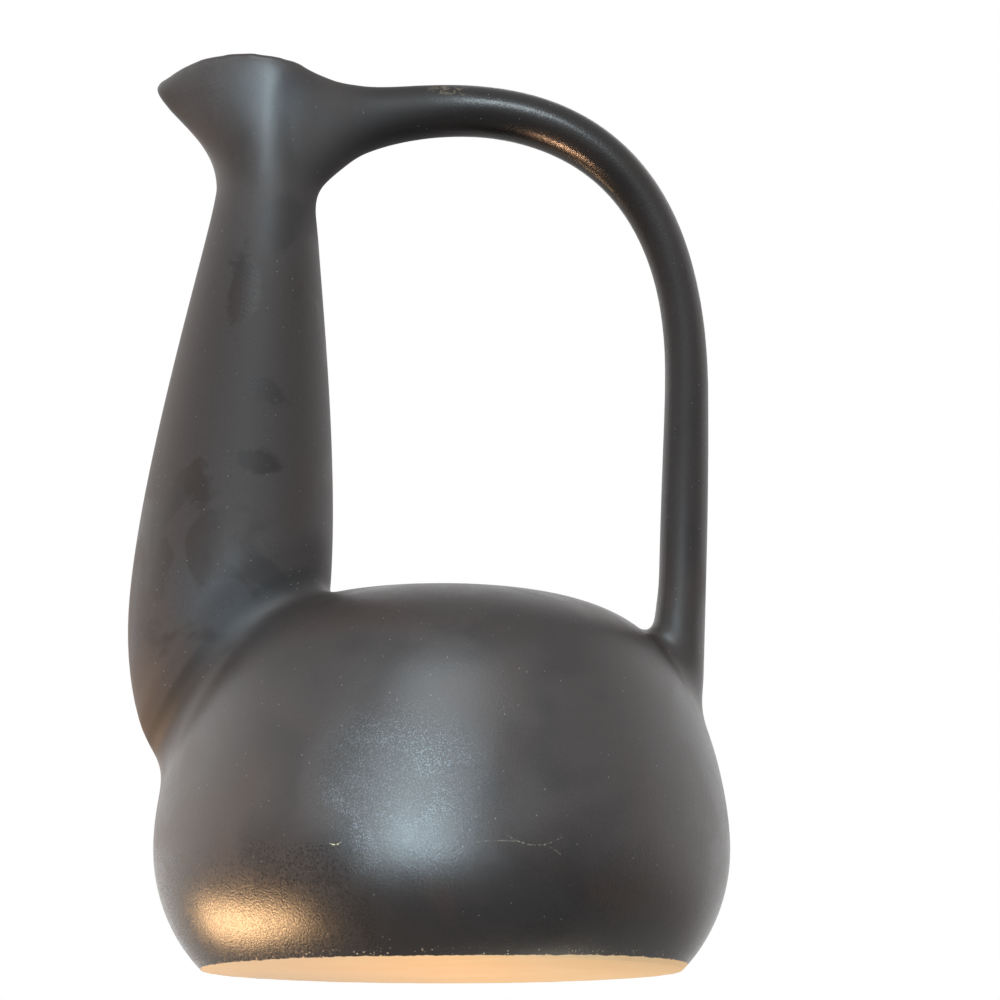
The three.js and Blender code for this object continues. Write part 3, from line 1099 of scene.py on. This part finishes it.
class Paint:
    """The nodes of one material or world, added by expression."""

    def __init__(self, tree: bpy.types.NodeTree) -> None:
        """Clears all but the output of a node tree."""
        self.tree = tree
        for node in list(tree.nodes):
            if not node.bl_idname.startswith("ShaderNodeOutput"):
                tree.nodes.remove(node)
        self.end = tree.nodes[0]

    def node(
        self,
        kind: str,
        settings: dict[str, Any] | None = None,
        inputs: dict[str | int, Entry] | None = None,
        out: str | int = 0,
    ) -> Value:
        """Adds a node.

        Args:
            kind: Type of the node, without its prefix.
            settings: The node's own values, set first.
            inputs: Values or links of its sockets.
            out: Which output is returned.

        Returns:
            That output.
        """
        made = self.tree.nodes.new("ShaderNode" + kind)
        for key, value in (settings or {}).items():
            setattr(made, key, value)
        for key, value in (inputs or {}).items():
            if isinstance(value, Value):
                self.tree.links.new(value.socket, made.inputs[key])
            else:
                made.inputs[key].default_value = value
        return Value(self, made.outputs[out])

    def maths(self, operation: str, *terms: Entry) -> Value:
        """Adds a Math node."""
        return self.node("Math", {"operation": operation}, dict(enumerate(terms)))

    def show(self, shader: Value) -> None:
        """Links a shader to the output."""
        self.tree.links.new(shader.socket, self.end.inputs["Surface"])

    def ease(self, value: Value, low: float | Value, high: float | Value) -> Value:
        """Share from 0 at low to 1 at high, easing at both ends."""
        return self.node(
            "MapRange",
            {"interpolation_type": "SMOOTHSTEP"},
            {"Value": value, "From Min": low, "From Max": high},
        )

    def mix(self, share: Value | float, first: Entry, second: Entry) -> Value:
        """Blends two colours."""
        return self.node("Mix", {"data_type": "RGBA"}, {0: share, 6: first, 7: second}, out=2)

    def shade(self, colour: Value, share: Value) -> Value:
        """Multiplies a colour by a value."""
        return self.node("VectorMath", {"operation": "SCALE"}, {0: colour, "Scale": share})

    def show_surface(self, colour: Value, rough: Entry, height: Value, index: float) -> None:
        """Shows a surface with a relief.

        Args:
            colour: Its colour.
            rough: Its roughness.
            height: Its relief, in millimetres.
            index: Its index of refraction.
        """
        bump = self.node("Bump", inputs={"Height": height, "Distance": 1 * MM, "Strength": 1.0})
        inputs = {"Base Color": colour, "Roughness": rough, "IOR": index, "Normal": bump}
        self.show(self.node("BsdfPrincipled", inputs=inputs))


def new_material(name: str) -> tuple[bpy.types.Material, Paint]:
    """A new material and its nodes.

    Args:
        name: Name of the material.

    Returns:
        The material, and its nodes with nothing but the output.
    """
    material = bpy.data.materials.new(name)
    material.use_nodes = True
    return material, Paint(material.node_tree)


class Spot:
    """A place on a piece, as shader values, and the patterns that are read there."""

    def __init__(self, paint: Paint) -> None:
        """Reads the place and its coordinates."""
        self.paint = paint
        self.place = paint.node("TexCoord", out="Object")
        self.x = paint.node("SeparateXYZ", inputs={0: self.place}, out="X")
        self.y = self.x.out("Y")
        self.z = self.x.out("Z")

    def noise(self, size: float, detail: float = 2.0, warp: float = 0.0) -> Value:
        """Soft noise from about 0.3 to 0.7, with lumps of a size."""
        inputs = {"Vector": self.place, "Scale": 1 / size, "Detail": detail, "Distortion": warp}
        return self.paint.node("TexNoise", inputs=inputs)

    def patches(self, size: float, edge: Span, detail: float = 2.0, warp: float = 0.0) -> Value:
        """Patches from 0 to 1, made of noise of a size that rises over an edge."""
        return self.paint.ease(self.noise(size, detail, warp), *edge)

    def grains(self, size: float, dot: Span, few: Span, more: Value | float = 0.0) -> Value:
        """Strewn grains.

        Args:
            size: Size of the cells that hold a grain each.
            dot: Where a grain starts to fade and where it ends, as shares of its cell.
            few: Random values from which a cell's grain starts to show and shows fully.
            more: What is added to those random values where there are more grains.

        Returns:
            Share of grain.
        """
        cells = self.paint.node("TexVoronoi", inputs={"Vector": self.place, "Scale": 1 / size})
        chosen = self.paint.node("SeparateColor", inputs={0: cells.out("Color")})
        return (1 - self.paint.ease(cells, *dot)) * self.paint.ease(chosen + more, *few)

    def away(self, centre: Point) -> Value:
        """How far it is from a centre, seen from the front."""
        return ((self.x - centre[0]) ** 2 + (self.z - centre[1]) ** 2) ** 0.5


@dataclass(frozen=True)
class Zone:
    """A part of the vase with soft edges.

    Attributes:
        along: Edges along X, each from where the zone starts to where it is full.
        up: Edges in height, given the same way.
    """

    along: tuple[Span, ...] = ()
    up: tuple[Span, ...] = ()

    def share(self, spot: Spot) -> Value:
        """How much a place belongs to the zone, from 0 to 1."""
        edges = [(spot.x, edge) for edge in self.along] + [(spot.z, edge) for edge in self.up]
        return reduce(mul, [spot.paint.ease(value, *edge) for value, edge in edges])


@dataclass(frozen=True)
class Scratch:
    """A fine curved scratch on the dome's front, as part of a circle seen from the front.

    Attributes:
        middle: Place of the circle's middle, x and z.
        radius: Radius of the circle.
        start: Where it starts along X.
        end: Where it ends along X.
        upper: Whether it is on the circle's upper half.
        depth: How strongly it shows.
    """

    middle: Point
    radius: float
    start: float
    end: float
    upper: bool
    depth: float


@dataclass(frozen=True)
class Smear:
    """A place on the front where the dusty film is wiped off.

    Attributes:
        middle: Place of its middle, x and z.
        reach: Half width and half height.
    """

    middle: Point
    reach: Point


@dataclass(frozen=True)
class PaintedSheen:
    """A round place on the front where a bluish reflection of the window is painted into the colour, a
    painted highlight.

    Attributes:
        middle: Place of its middle, x and z.
        reach: Where it ends, from its middle.
        core: Share of the reach in which it is full.
    """

    middle: Point
    reach: float
    core: float = 0.2


@dataclass(frozen=True)
class Shares:
    """How much of each kind of surface a place has, as shader values."""

    front: Value
    neck: Value
    # share of painted shade in the band along the neck's crease
    crease_shade: Value
    fold: Value
    leg: Value
    beak: Value
    mouth: Value
    gritty: Value
    smudge: Value
    wiped: Value
    film: Value
    grain: Value
    crystals: Value
    bare: Value
    grit: Value


@dataclass(frozen=True)
class Glaze:
    """Satin brown-black glaze with a dusty film, on buff clay that is bare below the glaze line."""

    name: str = "satin_glaze"
    dark: Colour = (0.0105, 0.0092, 0.0092, 1)
    film: Colour = (0.038, 0.029, 0.0265, 1)
    dust: Colour = (0.058, 0.047, 0.045, 1)
    # painted highlight: colour of the bluish window reflection painted on the neck's foot and on the mouth
    painted_sheen: Colour = (0.056, 0.058, 0.064, 1)
    # painted highlight: pale bluish grains where the window's highlight falls on the dome's front, partly
    # the glaze's own crystals
    highlight_frost: Colour = (0.13, 0.15, 0.16, 1)
    rust: Colour = (0.040, 0.022, 0.016, 1)
    speck: Colour = (0.30, 0.29, 0.27, 1)
    scratch: Colour = (0.30, 0.27, 0.19, 1)
    chip: Colour = (0.66, 0.60, 0.33, 1)
    rubbed: Colour = (0.18, 0.14, 0.09, 1)
    clay: Colour = (0.79, 0.53, 0.28, 1)
    clay_pale: Colour = (0.81, 0.56, 0.32, 1)
    # painted shade: duller, darker clay towards the left of the foot, where the warm light from below
    # reaches less
    clay_painted_shade: Colour = (0.44, 0.39, 0.31, 1)
    grit: Colour = (0.42, 0.33, 0.24, 1)
    roughness: float = 0.26
    film_roughness: float = 0.19
    dust_roughness: float = 0.17
    mouth_roughness: float = 0.02
    root_roughness: float = 0.3
    fold_roughness: float = 0.25
    bare_roughness: float = 0.4
    speckle_roughness: float = 0.06
    gritty_roughness: float = 0.11
    gritty_polish: float = 0.04
    index: float = 1.58
    grain_size: float = 0.65 * MM
    grain_height: float = 0.05
    crystal_size: float = 24 * MM
    crystal_height: float = 0.025
    gritty_height: float = 0.05
    lump_size: float = 9 * MM
    lump_height: float = 0.05
    dimple_size: float = 2.4 * MM
    dimple_height: float = 0.008
    smudge_size: float = 30 * MM
    rust_size: float = 52 * MM
    # grain size, middle and reach of the painted highlight grains on the dome's front
    highlight_frost_size: float = 0.5 * MM
    highlight_frost_place: Point = mm(-12, 53)
    highlight_frost_reach: Span = mm(36, 12)
    speck_size: float = 2.6 * MM
    smear_edge_size: float = 8 * MM
    scratch_gap_size: float = 0.8 * MM
    scratch_width: Span = mm(0.06, 0.26)
    scratch_taper: float = 2 * MM
    worn_size: float = 2.2 * MM
    mottle_size: float = 26 * MM
    glaze_line: Span = mm(0.25, 1.6)
    glaze_line_run: Span = mm(0, 82)
    glaze_line_lumps: float = 3 * MM
    glaze_line_wander: float = 0.9 * MM
    glaze_edge: Span = mm(-0.1, 0.15)
    grit_size: float = 1.1 * MM
    grit_reach: Span = mm(3.2, 0.6)
    front: Span = mm(0, -20)
    smear_front: Span = mm(0, -6)
    hollow_start: Point = mm(-36, 126)
    hollow_bend: float = 14.5
    # where and how wide the painted shade in the neck's crease lies
    crease_shade_rise: float = 3 * MM
    crease_shade_width: Span = mm(6, 1.5)
    fold_rise: float = 7 * MM
    fold_width: Span = mm(15, 5)
    neck_edge: Span = mm(-3, 5)
    neck: Zone = Zone((mm(-28, -36),), (mm(272, 252),))
    neck_side: Zone = Zone((mm(-36, -44),))
    neck_back: Zone = Zone((mm(-62, -44),))
    beak: Zone = Zone((mm(-66, -78),), (mm(262, 274),))
    mouth: Zone = Zone((mm(-44, -52),), (mm(262, 276),))
    root: Zone = Zone((mm(-52, -45), mm(18, -10)), (mm(240, 256),))
    handle: Zone = Zone((mm(-36, -18),), (mm(126, 142),))
    worn: Zone = Zone((mm(-7, -1), mm(11, 5)), (mm(290, 294),))
    leg: Zone = Zone((mm(40, 62),), (mm(118, 128), mm(268, 240)))
    shoulder: Zone = Zone(up=(mm(62, 100), mm(150, 122)))
    belly: Zone = Zone(up=(mm(12, 46),))
    gritty: Zone = Zone((mm(-15, -45),), (mm(44, 34),))
    # painted shade: the bare clay darkens towards the left
    clay_shade_side: Zone = Zone((mm(20, -70),))
    # places of the painted window reflections: the neck's foot and the mouth's front
    painted_sheens: tuple[PaintedSheen, ...] = (PaintedSheen(mm(-74, 121), 26 * MM), PaintedSheen(mm(-56, 291), 17 * MM))
    smears: tuple[Smear, ...] = (
        Smear(mm(-80.7, 158), mm(5.5, 8)),
        Smear(mm(-60, 166), mm(8, 4.5)),
        Smear(mm(-94, 132), mm(4.5, 13)),
        Smear(mm(-77, 133), mm(2.5, 4)),
        Smear(mm(-66, 224), mm(6, 14)),
    )
    scratches: tuple[Scratch, ...] = (
        Scratch(mm(30.5, 49.5), 14.5 * MM, 21 * MM, 40 * MM, False, 0.4),
        Scratch(mm(20, -24), 60.2 * MM, 11 * MM, 28 * MM, True, 0.35),
        Scratch(mm(31, 24), 11.2 * MM, 34 * MM, 40 * MM, True, 0.35),
        Scratch(mm(-33.5, 38.5), 3.3 * MM, -36 * MM, -30.6 * MM, False, 1.3),
    )

    def make(self) -> bpy.types.Material:
        """Builds the material.

        Returns:
            The material.
        """
        material, paint = new_material(self.name)
        spot = Spot(paint)
        shares = self.read(spot)
        colour = self.film_colour(spot, shares)
        colour = self.add_marks(spot, shares, colour)
        colour = self.add_foot(spot, shares, colour)
        paint.show_surface(colour, self.rough(spot, shares), self.relief(spot, shares), self.index)
        return material

    def read(self, spot: Spot) -> Shares:
        """Reads what kinds of surface a place has.

        Args:
            spot: The place.

        Returns:
            Its shares.
        """
        ease = spot.paint.ease
        neck, crease_shade, fold = self.neck_shares(spot)
        leg, beak = self.leg.share(spot), self.beak.share(spot)
        clouds = spot.noise(self.smudge_size, 6, 0.9)
        soft = 0.35 + 0.65 * ease(clouds, 0.32, 0.58)
        smudge = soft + (ease(clouds, 0.38, 0.47) - soft) * neck
        wiped = self.smear_share(spot) * ease(spot.y, *self.smear_front)
        # painted shade: less film, so darker glaze, in the band along the neck's crease
        film = self.film_share(spot, smudge, leg) * (1 - 0.7 * crease_shade) * (1 - 0.85 * wiped)
        bare, grit = self.foot_shares(spot)
        return Shares(
            front=ease(spot.y, *self.front),
            neck=neck,
            crease_shade=crease_shade,
            fold=fold,
            leg=leg,
            beak=beak,
            mouth=self.mouth.share(spot) * (1 - beak),
            gritty=self.gritty.share(spot),
            smudge=smudge,
            wiped=wiped,
            film=film,
            grain=spot.noise(self.grain_size, 3),
            crystals=spot.patches(self.crystal_size, (0.44, 0.58), 4, 0.8),
            bare=bare,
            grit=grit,
        )

    def film_colour(self, spot: Spot, shares: Shares) -> Value:
        """Colour of the glaze with its film, rust and dust, painted shade in the neck's crease, and
        painted bluish reflections on the neck's foot and the mouth.

        Args:
            spot: The place.
            shares: Its shares.

        Returns:
            The colour.
        """
        mix = spot.paint.mix
        colour = mix(shares.film, self.dark, self.film)
        rust = spot.patches(self.rust_size, (0.5, 0.72), 5, 0.6)
        colour = mix(rust * 0.5 + shares.wiped * 0.2, colour, self.rust)
        # painted shade: no dust in the band along the neck's crease
        dusty = shares.neck * (0.2 + 0.8 * shares.smudge) * (1 - shares.wiped) * (1 - shares.crease_shade)
        dusty = dusty * (1 - 0.8 * self.neck_back.share(spot)) + shares.beak
        colour = mix(dusty * 0.8, colour, self.dust)
        # painted highlight: bluish window reflections painted into the colour on the neck's foot and the
        # mouth's front
        for painted_sheen in self.painted_sheens:
            sheen = spot.paint.ease(spot.away(painted_sheen.middle), painted_sheen.reach, painted_sheen.core * painted_sheen.reach)
            sheen = sheen * shares.front * (0.3 + 0.7 * shares.smudge)
            colour = mix(sheen * 0.7, colour, self.painted_sheen)
        return spot.paint.shade(colour, 0.55 + 0.9 * shares.grain)

    def add_marks(self, spot: Spot, shares: Shares, colour: Value) -> Value:
        """Adds pale grains, scratches, the worn spot, and painted highlight grains on the dome's front to
        a colour.

        Args:
            spot: The place.
            shares: Its shares.
            colour: The colour there.

        Returns:
            The new colour.
        """
        mix, ease = spot.paint.mix, spot.paint.ease
        # painted highlight: pale bluish grains only where the window's highlight falls on the dome's
        # front, partly the glaze's own crystals
        near = ease(spot.away(self.highlight_frost_place), *self.highlight_frost_reach) * shares.front
        highlight_frost = spot.patches(self.highlight_frost_size, (0.44, 0.74), 1) * (0.5 + 0.5 * shares.crystals)
        colour = mix(highlight_frost * near, colour, self.highlight_frost)
        more = 0.2 * self.shoulder.share(spot)
        specks = spot.grains(self.speck_size, (0.05, 0.11), (0.55, 0.95), more)
        colour = mix(specks * 0.6, colour, self.speck)
        marks = self.scratch_share(spot) * shares.front
        colour = mix(marks, colour, self.scratch)
        colour = mix(ease(marks, 0.6, 1.2), colour, self.chip)
        worn = spot.patches(self.worn_size, (0.52, 0.64), 5, 0.5) * self.worn.share(spot)
        return mix(worn * 0.7, colour, self.rubbed)

    def add_foot(self, spot: Spot, shares: Shares, colour: Value) -> Value:
        """Adds the grit along the glaze line, and the bare clay below it with painted shade towards its
        left, to a colour.

        Args:
            spot: The place.
            shares: Its shares.
            colour: The colour there.

        Returns:
            The new colour.
        """
        mix = spot.paint.mix
        mottle = spot.patches(self.mottle_size, (0.35, 0.65), 4)
        clay = mix(mottle, self.clay, self.clay_pale)
        # painted shade: the bare clay darkens towards the left of the foot
        clay = mix(self.clay_shade_side.share(spot), clay, self.clay_painted_shade)
        return mix(shares.bare, mix(shares.grit, colour, self.grit), clay)

    def rough(self, spot: Spot, shares: Shares) -> Value:
        """Roughness, higher under film and dust, at the handle's root, in the fold and on bare clay.

        Args:
            spot: The place.
            shares: Its shares.

        Returns:
            The roughness.
        """
        rough = self.roughness + self.film_roughness * shares.film
        rough = rough + self.dust_roughness * (shares.neck + 0.5 * shares.leg)
        speckle = spot.paint.ease(shares.grain, 0.36, 0.64) - 0.5
        rough = rough + (self.speckle_roughness + self.gritty_roughness * shares.gritty) * speckle
        rough = rough - self.gritty_polish * shares.gritty + self.mouth_roughness * shares.mouth
        rough = rough + self.root_roughness * self.root.share(spot)
        return rough + self.fold_roughness * shares.fold + self.bare_roughness * shares.bare

    def relief(self, spot: Spot, shares: Shares) -> Value:
        """Relief in millimetres: fine grain, lumps and dimples.

        Args:
            spot: The place.
            shares: Its shares.

        Returns:
            The height.
        """
        depth = self.grain_height + self.crystal_height * shares.crystals
        depth = depth + self.gritty_height * shares.gritty
        fine = shares.grain * depth * (1 - 0.6 * shares.mouth)
        lumps = self.lump_height * spot.noise(self.lump_size, 3)
        return fine + lumps + self.dimple_height * spot.noise(self.dimple_size, 2)

    def neck_shares(self, spot: Spot) -> tuple[Value, Value, Value]:
        """Where the neck is, below the mouth, and the band along its foot's crease where painted shade
        darkens the glaze.

        Args:
            spot: The place.

        Returns:
            Share of neck, share of painted crease shade, and share of the matte fold that is wider than
            that band.
        """
        ease = spot.paint.ease
        start, top = self.hollow_start
        above = spot.z - top + self.hollow_bend * (spot.x - start) ** 2
        side = self.neck_side.share(spot)
        neck = ease(above, *self.neck_edge) * self.neck.share(spot)
        # painted shade: band along the crease where the neck meets the dome
        crease_shade = ease(abs(above - self.crease_shade_rise), *self.crease_shade_width) * side
        fold = ease(abs(above - self.fold_rise), *self.fold_width) * side
        return neck, crease_shade, fold

    def film_share(self, spot: Spot, smudge: Value, leg: Value) -> Value:
        """How dusty the glaze is: hazy on neck, dome and leg, rubbed dark in smudges and on the arch.

        Args:
            spot: The place.
            smudge: Share of haze among the smudges.
            leg: Share of the handle's leg.

        Returns:
            Share of film.
        """
        rubbed = 0.75 * self.handle.share(spot) * (1 - 0.7 * leg)
        return (0.45 + 0.55 * smudge) * (1 - rubbed) * (0.35 + 0.65 * self.belly.share(spot))

    def smear_share(self, spot: Spot) -> Value:
        """Where the film is wiped off, in places with uneven clear edges.

        Args:
            spot: The place.

        Returns:
            Share of wiped glaze.
        """
        uneven = 2.4 * (spot.noise(self.smear_edge_size, 4, 0.5) - 0.5)
        total: Value | float = 0.0
        for smear in self.smears:
            across = (spot.x - smear.middle[0]) / smear.reach[0]
            along = (spot.z - smear.middle[1]) / smear.reach[1]
            away = (across**2 + along**2) ** 0.5 + uneven
            total = spot.paint.maths("MAXIMUM", total, 1 - spot.paint.ease(away, 0.65, 1.15))
        return total

    def scratch_share(self, spot: Spot) -> Value:
        """Where the fine scratches run.

        Args:
            spot: The place.

        Returns:
            Share of scratch, above 1 where one is deep.
        """
        ease = spot.paint.ease
        total: Value | float = 0.0
        for mark in self.scratches:
            off = abs(spot.away(mark.middle) - mark.radius)
            line = (1 - ease(off, *self.scratch_width)) * mark.depth
            ends = ease(spot.x, mark.start, mark.start + self.scratch_taper)
            ends = ends * ease(spot.x, mark.end, mark.end - self.scratch_taper)
            half = ease(spot.z - mark.middle[1], 0.0, (1 if mark.upper else -1) * MM)
            total = total + line * ends * half
        return spot.patches(self.scratch_gap_size, (0.42, 0.6)) * total

    def foot_shares(self, spot: Spot) -> tuple[Value, Value]:
        """Where the clay is bare below the glaze line, and where the glaze's edge is gritty.

        Args:
            spot: The place.

        Returns:
            Share of bare clay, and share of grit.
        """
        ease = spot.paint.ease
        low, rise = self.glaze_line
        line = low + rise * ease(spot.x, *self.glaze_line_run)
        line = line + (spot.noise(self.glaze_line_lumps, 3) - 0.5) * self.glaze_line_wander
        above = spot.z - line
        grit = spot.grains(self.grit_size, (0.16, 0.36), (0.66, 0.8)) * ease(above, *self.grit_reach)
        return 1 - ease(above, *self.glaze_edge), grit


@dataclass(frozen=True)
class Clay:
    """Buff bisque, bare."""

    name: str = "buff_clay"
    buff: Colour = (0.72, 0.49, 0.30, 1)
    pale: Colour = (0.78, 0.58, 0.39, 1)
    roughness: float = 0.85
    index: float = 1.5
    mottle_size: float = 20 * MM
    grain_size: float = 0.8 * MM
    grain_height: float = 0.2

    def make(self) -> bpy.types.Material:
        """Builds the material.

        Returns:
            The material.
        """
        material, paint = new_material(self.name)
        spot = Spot(paint)
        mottle = spot.patches(self.mottle_size, (0.35, 0.65), 4)
        grain = spot.noise(self.grain_size, 3)
        colour = paint.shade(paint.mix(mottle, self.buff, self.pale), 0.8 + 0.4 * grain)
        paint.show_surface(colour, self.roughness, grain * self.grain_height, self.index)
        return material


# Studio


@dataclass(frozen=True)
class Lamp:
    """A soft rectangular lamp.

    Attributes:
        name: Name of the lamp.
        aim: What it faces.
        bearing: Angle to the right of the camera's side, seen from there, in degrees.
        height: Angle above the horizon, in degrees.
        distance: How far it stands from what it faces.
        size: Width and height.
        power: Light it gives.
        colour: Colour of the light.
        spread: Angle of its grid, in degrees, which keeps its light to what it faces.
        roll: Turn about its own beam, in degrees.
    """

    name: str
    aim: tuple[float, float, float]
    bearing: float
    height: float
    distance: float
    size: Point
    power: float
    colour: tuple[float, float, float]
    spread: float = 180.0
    roll: float = 0.0

    def hang(self) -> None:
        """Hangs the lamp so that it faces its aim."""
        turn, rise = math.radians(self.bearing), math.radians(self.height)
        flat = math.cos(rise)
        way = Vector((math.sin(turn) * flat, -math.cos(turn) * flat, math.sin(rise)))
        rolled = Quaternion((0, 0, 1), math.radians(self.roll))
        facing = (way.to_track_quat("Z", "Y") @ rolled).to_euler()
        put_down()
        bpy.ops.object.light_add(
            type="AREA", location=Vector(self.aim) + way * self.distance, rotation=facing
        )
        lamp = bpy.context.active_object
        lamp.name = self.name
        lamp.visible_camera = False
        lamp.data.shape = "RECTANGLE"
        lamp.data.size, lamp.data.size_y = self.size
        lamp.data.energy = self.power
        lamp.data.color = self.colour
        lamp.data.spread = math.radians(self.spread)


@dataclass(frozen=True)
class Surroundings:
    """The light that comes from all round, as levels over directions. The camera sees plain white.

    Attributes:
        low_front: Level in front, below.
        front_gain: What is added to it in front, above, and front_rise where that starts and is full.
        back: Level behind, above.
        back_loss: What is taken from it behind, below, and back_fall where that starts and is full.
        behind: Where behind starts and is full, along Y.
        left_gain: What is added at the left, and left_turn and left_rise where that starts and is full.
        over: Level overhead, and over_rise where that starts and is full.
    """

    low_front: float = 0.22
    front_gain: float = 0.34
    front_rise: Span = (-0.2, 0.3)
    back: float = 1.45
    back_loss: float = 0.98
    back_fall: Span = (0.05, -0.35)
    behind: Span = (-0.25, 0.3)
    left_gain: float = 0.45
    left_turn: Span = (-0.35, -0.9)
    left_rise: Span = (0.0, 0.3)
    over: float = 0.52
    over_rise: Span = (0.35, 0.8)

    def make(self) -> bpy.types.World:
        """Builds the world.

        Returns:
            The world.
        """
        world = bpy.data.worlds.new("studio")
        world.use_nodes = True
        paint = Paint(world.node_tree)
        way = paint.node("TexCoord", out="Generated")
        x = paint.node("SeparateXYZ", inputs={0: way}, out="X")
        y, z = x.out("Y"), x.out("Z")
        front = self.low_front + self.front_gain * paint.ease(z, *self.front_rise)
        back = self.back - self.back_loss * paint.ease(z, *self.back_fall)
        left = paint.ease(x, *self.left_turn) * paint.ease(z, *self.left_rise)
        level = front + (back - front) * paint.ease(y, *self.behind) + self.left_gain * left
        level = level + (self.over - level) * paint.ease(z, *self.over_rise)
        seen = paint.node("LightPath", out="Is Camera Ray")
        seen = paint.maths("MAXIMUM", seen, seen.out("Is Transmission Ray"))
        level = seen + (1 - seen) * level
        paint.show(paint.node("Background", inputs={"Strength": level, "Color": (1, 1, 1, 1)}))
        return world


@dataclass
class Studio:
    """Floor, light and camera."""

    target: tuple[float, float, float] = (0.0193, 0.0, 0.1567)
    distance: float = 2.5
    elevation: float = math.radians(-6.76)
    lens: float = 270.0
    sensor: float = 36.0
    floor_size: float = 6.0
    floor_clear: float = 0.2 * MM
    floor_fade: Span = (0.5, 1.4)
    floor_colour: Colour = (0.86, 0.86, 0.85, 1)
    surroundings: Surroundings = Surroundings()
    lamps: tuple[Lamp, ...] = (
        Lamp(
            "high_window", aim=(0, 0, 0.10), bearing=2, height=47, distance=1.2,
            size=(0.50, 0.35), power=6.5, colour=(0.80, 0.93, 1.0),
        ),
        Lamp(
            "mid_window", aim=(-0.012, -0.085, 0.065), bearing=-9, height=17, distance=0.25,
            size=(0.18, 0.115), power=0.044, colour=(0.74, 0.91, 1.0), spread=44,
        ),
        Lamp(
            "low_window", aim=(-0.012, -0.095, 0.035), bearing=-9, height=-2, distance=0.3,
            size=(0.18, 0.10), power=0.076, colour=(0.70, 0.89, 1.0), spread=38,
        ),
        Lamp(
            "mouth_window", aim=(-0.068, -0.02, 0.298), bearing=9, height=-8, distance=0.25,
            size=(0.06, 0.08), power=0.016, colour=(0.72, 0.90, 1.0), spread=20,
        ),
        Lamp(
            "warm_strip", aim=(-0.066, -0.065, 0.02), bearing=-104, height=-35, distance=0.34,
            size=(0.33, 0.10), power=0.50, colour=(1.0, 0.60, 0.29), spread=80, roll=-30,
        ),
        Lamp(
            "arch_glow", aim=(0.04, -0.008, 0.2755), bearing=-55, height=-54, distance=0.35,
            size=(0.018, 0.018), power=0.0009, colour=(1.0, 0.56, 0.32), spread=6,
        ),
        Lamp(
            "base_light", aim=(0.12, 0, 0), bearing=180, height=-75, distance=0.3,
            size=(0.20, 0.20), power=0.63, colour=(1.0, 0.88, 0.68),
        ),
    )

    def build(self) -> None:
        """Sets the camera, the surroundings, the lamps and the floor."""
        bpy.context.scene.view_settings.view_transform = "Standard"
        self.set_camera()
        bpy.context.scene.world = self.surroundings.make()
        for lamp in self.lamps:
            lamp.hang()
        self.lay_floor()

    def set_camera(self) -> None:
        """Sets the camera a little below the foot, looking up at the vase."""
        place = (
            self.target[0],
            self.target[1] - self.distance * math.cos(self.elevation),
            self.target[2] + self.distance * math.sin(self.elevation),
        )
        put_down()
        bpy.ops.object.camera_add(location=place, rotation=(math.pi / 2 - self.elevation, 0, 0))
        camera = bpy.context.active_object
        camera.name = "camera"
        camera.data.lens = self.lens
        camera.data.sensor_width = self.sensor
        bpy.context.scene.camera = camera

    def lay_floor(self) -> None:
        """Lays a pale floor that shows from above, fades out far away, and is clear from below."""
        put_down()
        bpy.ops.mesh.primitive_plane_add(size=self.floor_size, location=(0, 0, -self.floor_clear))
        floor = bpy.context.active_object
        floor.name = "floor"
        bpy.ops.object.transform_apply(location=True, rotation=True, scale=True)
        material, paint = new_material("pale_floor")
        place = paint.node("TexCoord", out="Object")
        away = paint.node("VectorMath", {"operation": "LENGTH"}, {0: place}, out="Value")
        below = paint.node("NewGeometry", out="Backfacing")
        seen = paint.node("LightPath", out="Is Camera Ray")
        solid = seen * (1 - below) * (1 - paint.ease(away, *self.floor_fade))
        pale = paint.node("BsdfDiffuse", inputs={"Color": self.floor_colour})
        clear = paint.node("BsdfTransparent")
        paint.show(paint.node("MixShader", inputs={0: solid, 1: clear, 2: pale}))
        floor.data.materials.append(material)


def main() -> None:
    """Builds the vase piece by piece, and sets it in the studio."""
    logging.basicConfig(level=logging.INFO, format="%(name)s: %(message)s")
    dome = DomeForm()
    neck = NeckForm(dome)
    mass = ClayMass(dome, neck, HandleForm(neck, dome)).build()
    log.info("clay mass: %d faces", len(mass.data.polygons))
    parted = PartedClay(dome, neck, mass)
    glaze = Glaze().make()
    for kind in (Body, Neck, Mouth, Handle):
        kind(parted, glaze).build()
    parted.put_away()
    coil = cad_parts["base_luting_coil"]
    coil.data.materials.clear()
    coil.data.materials.append(Clay().make())
    Studio().build()


if __name__ == "__main__":
    main()
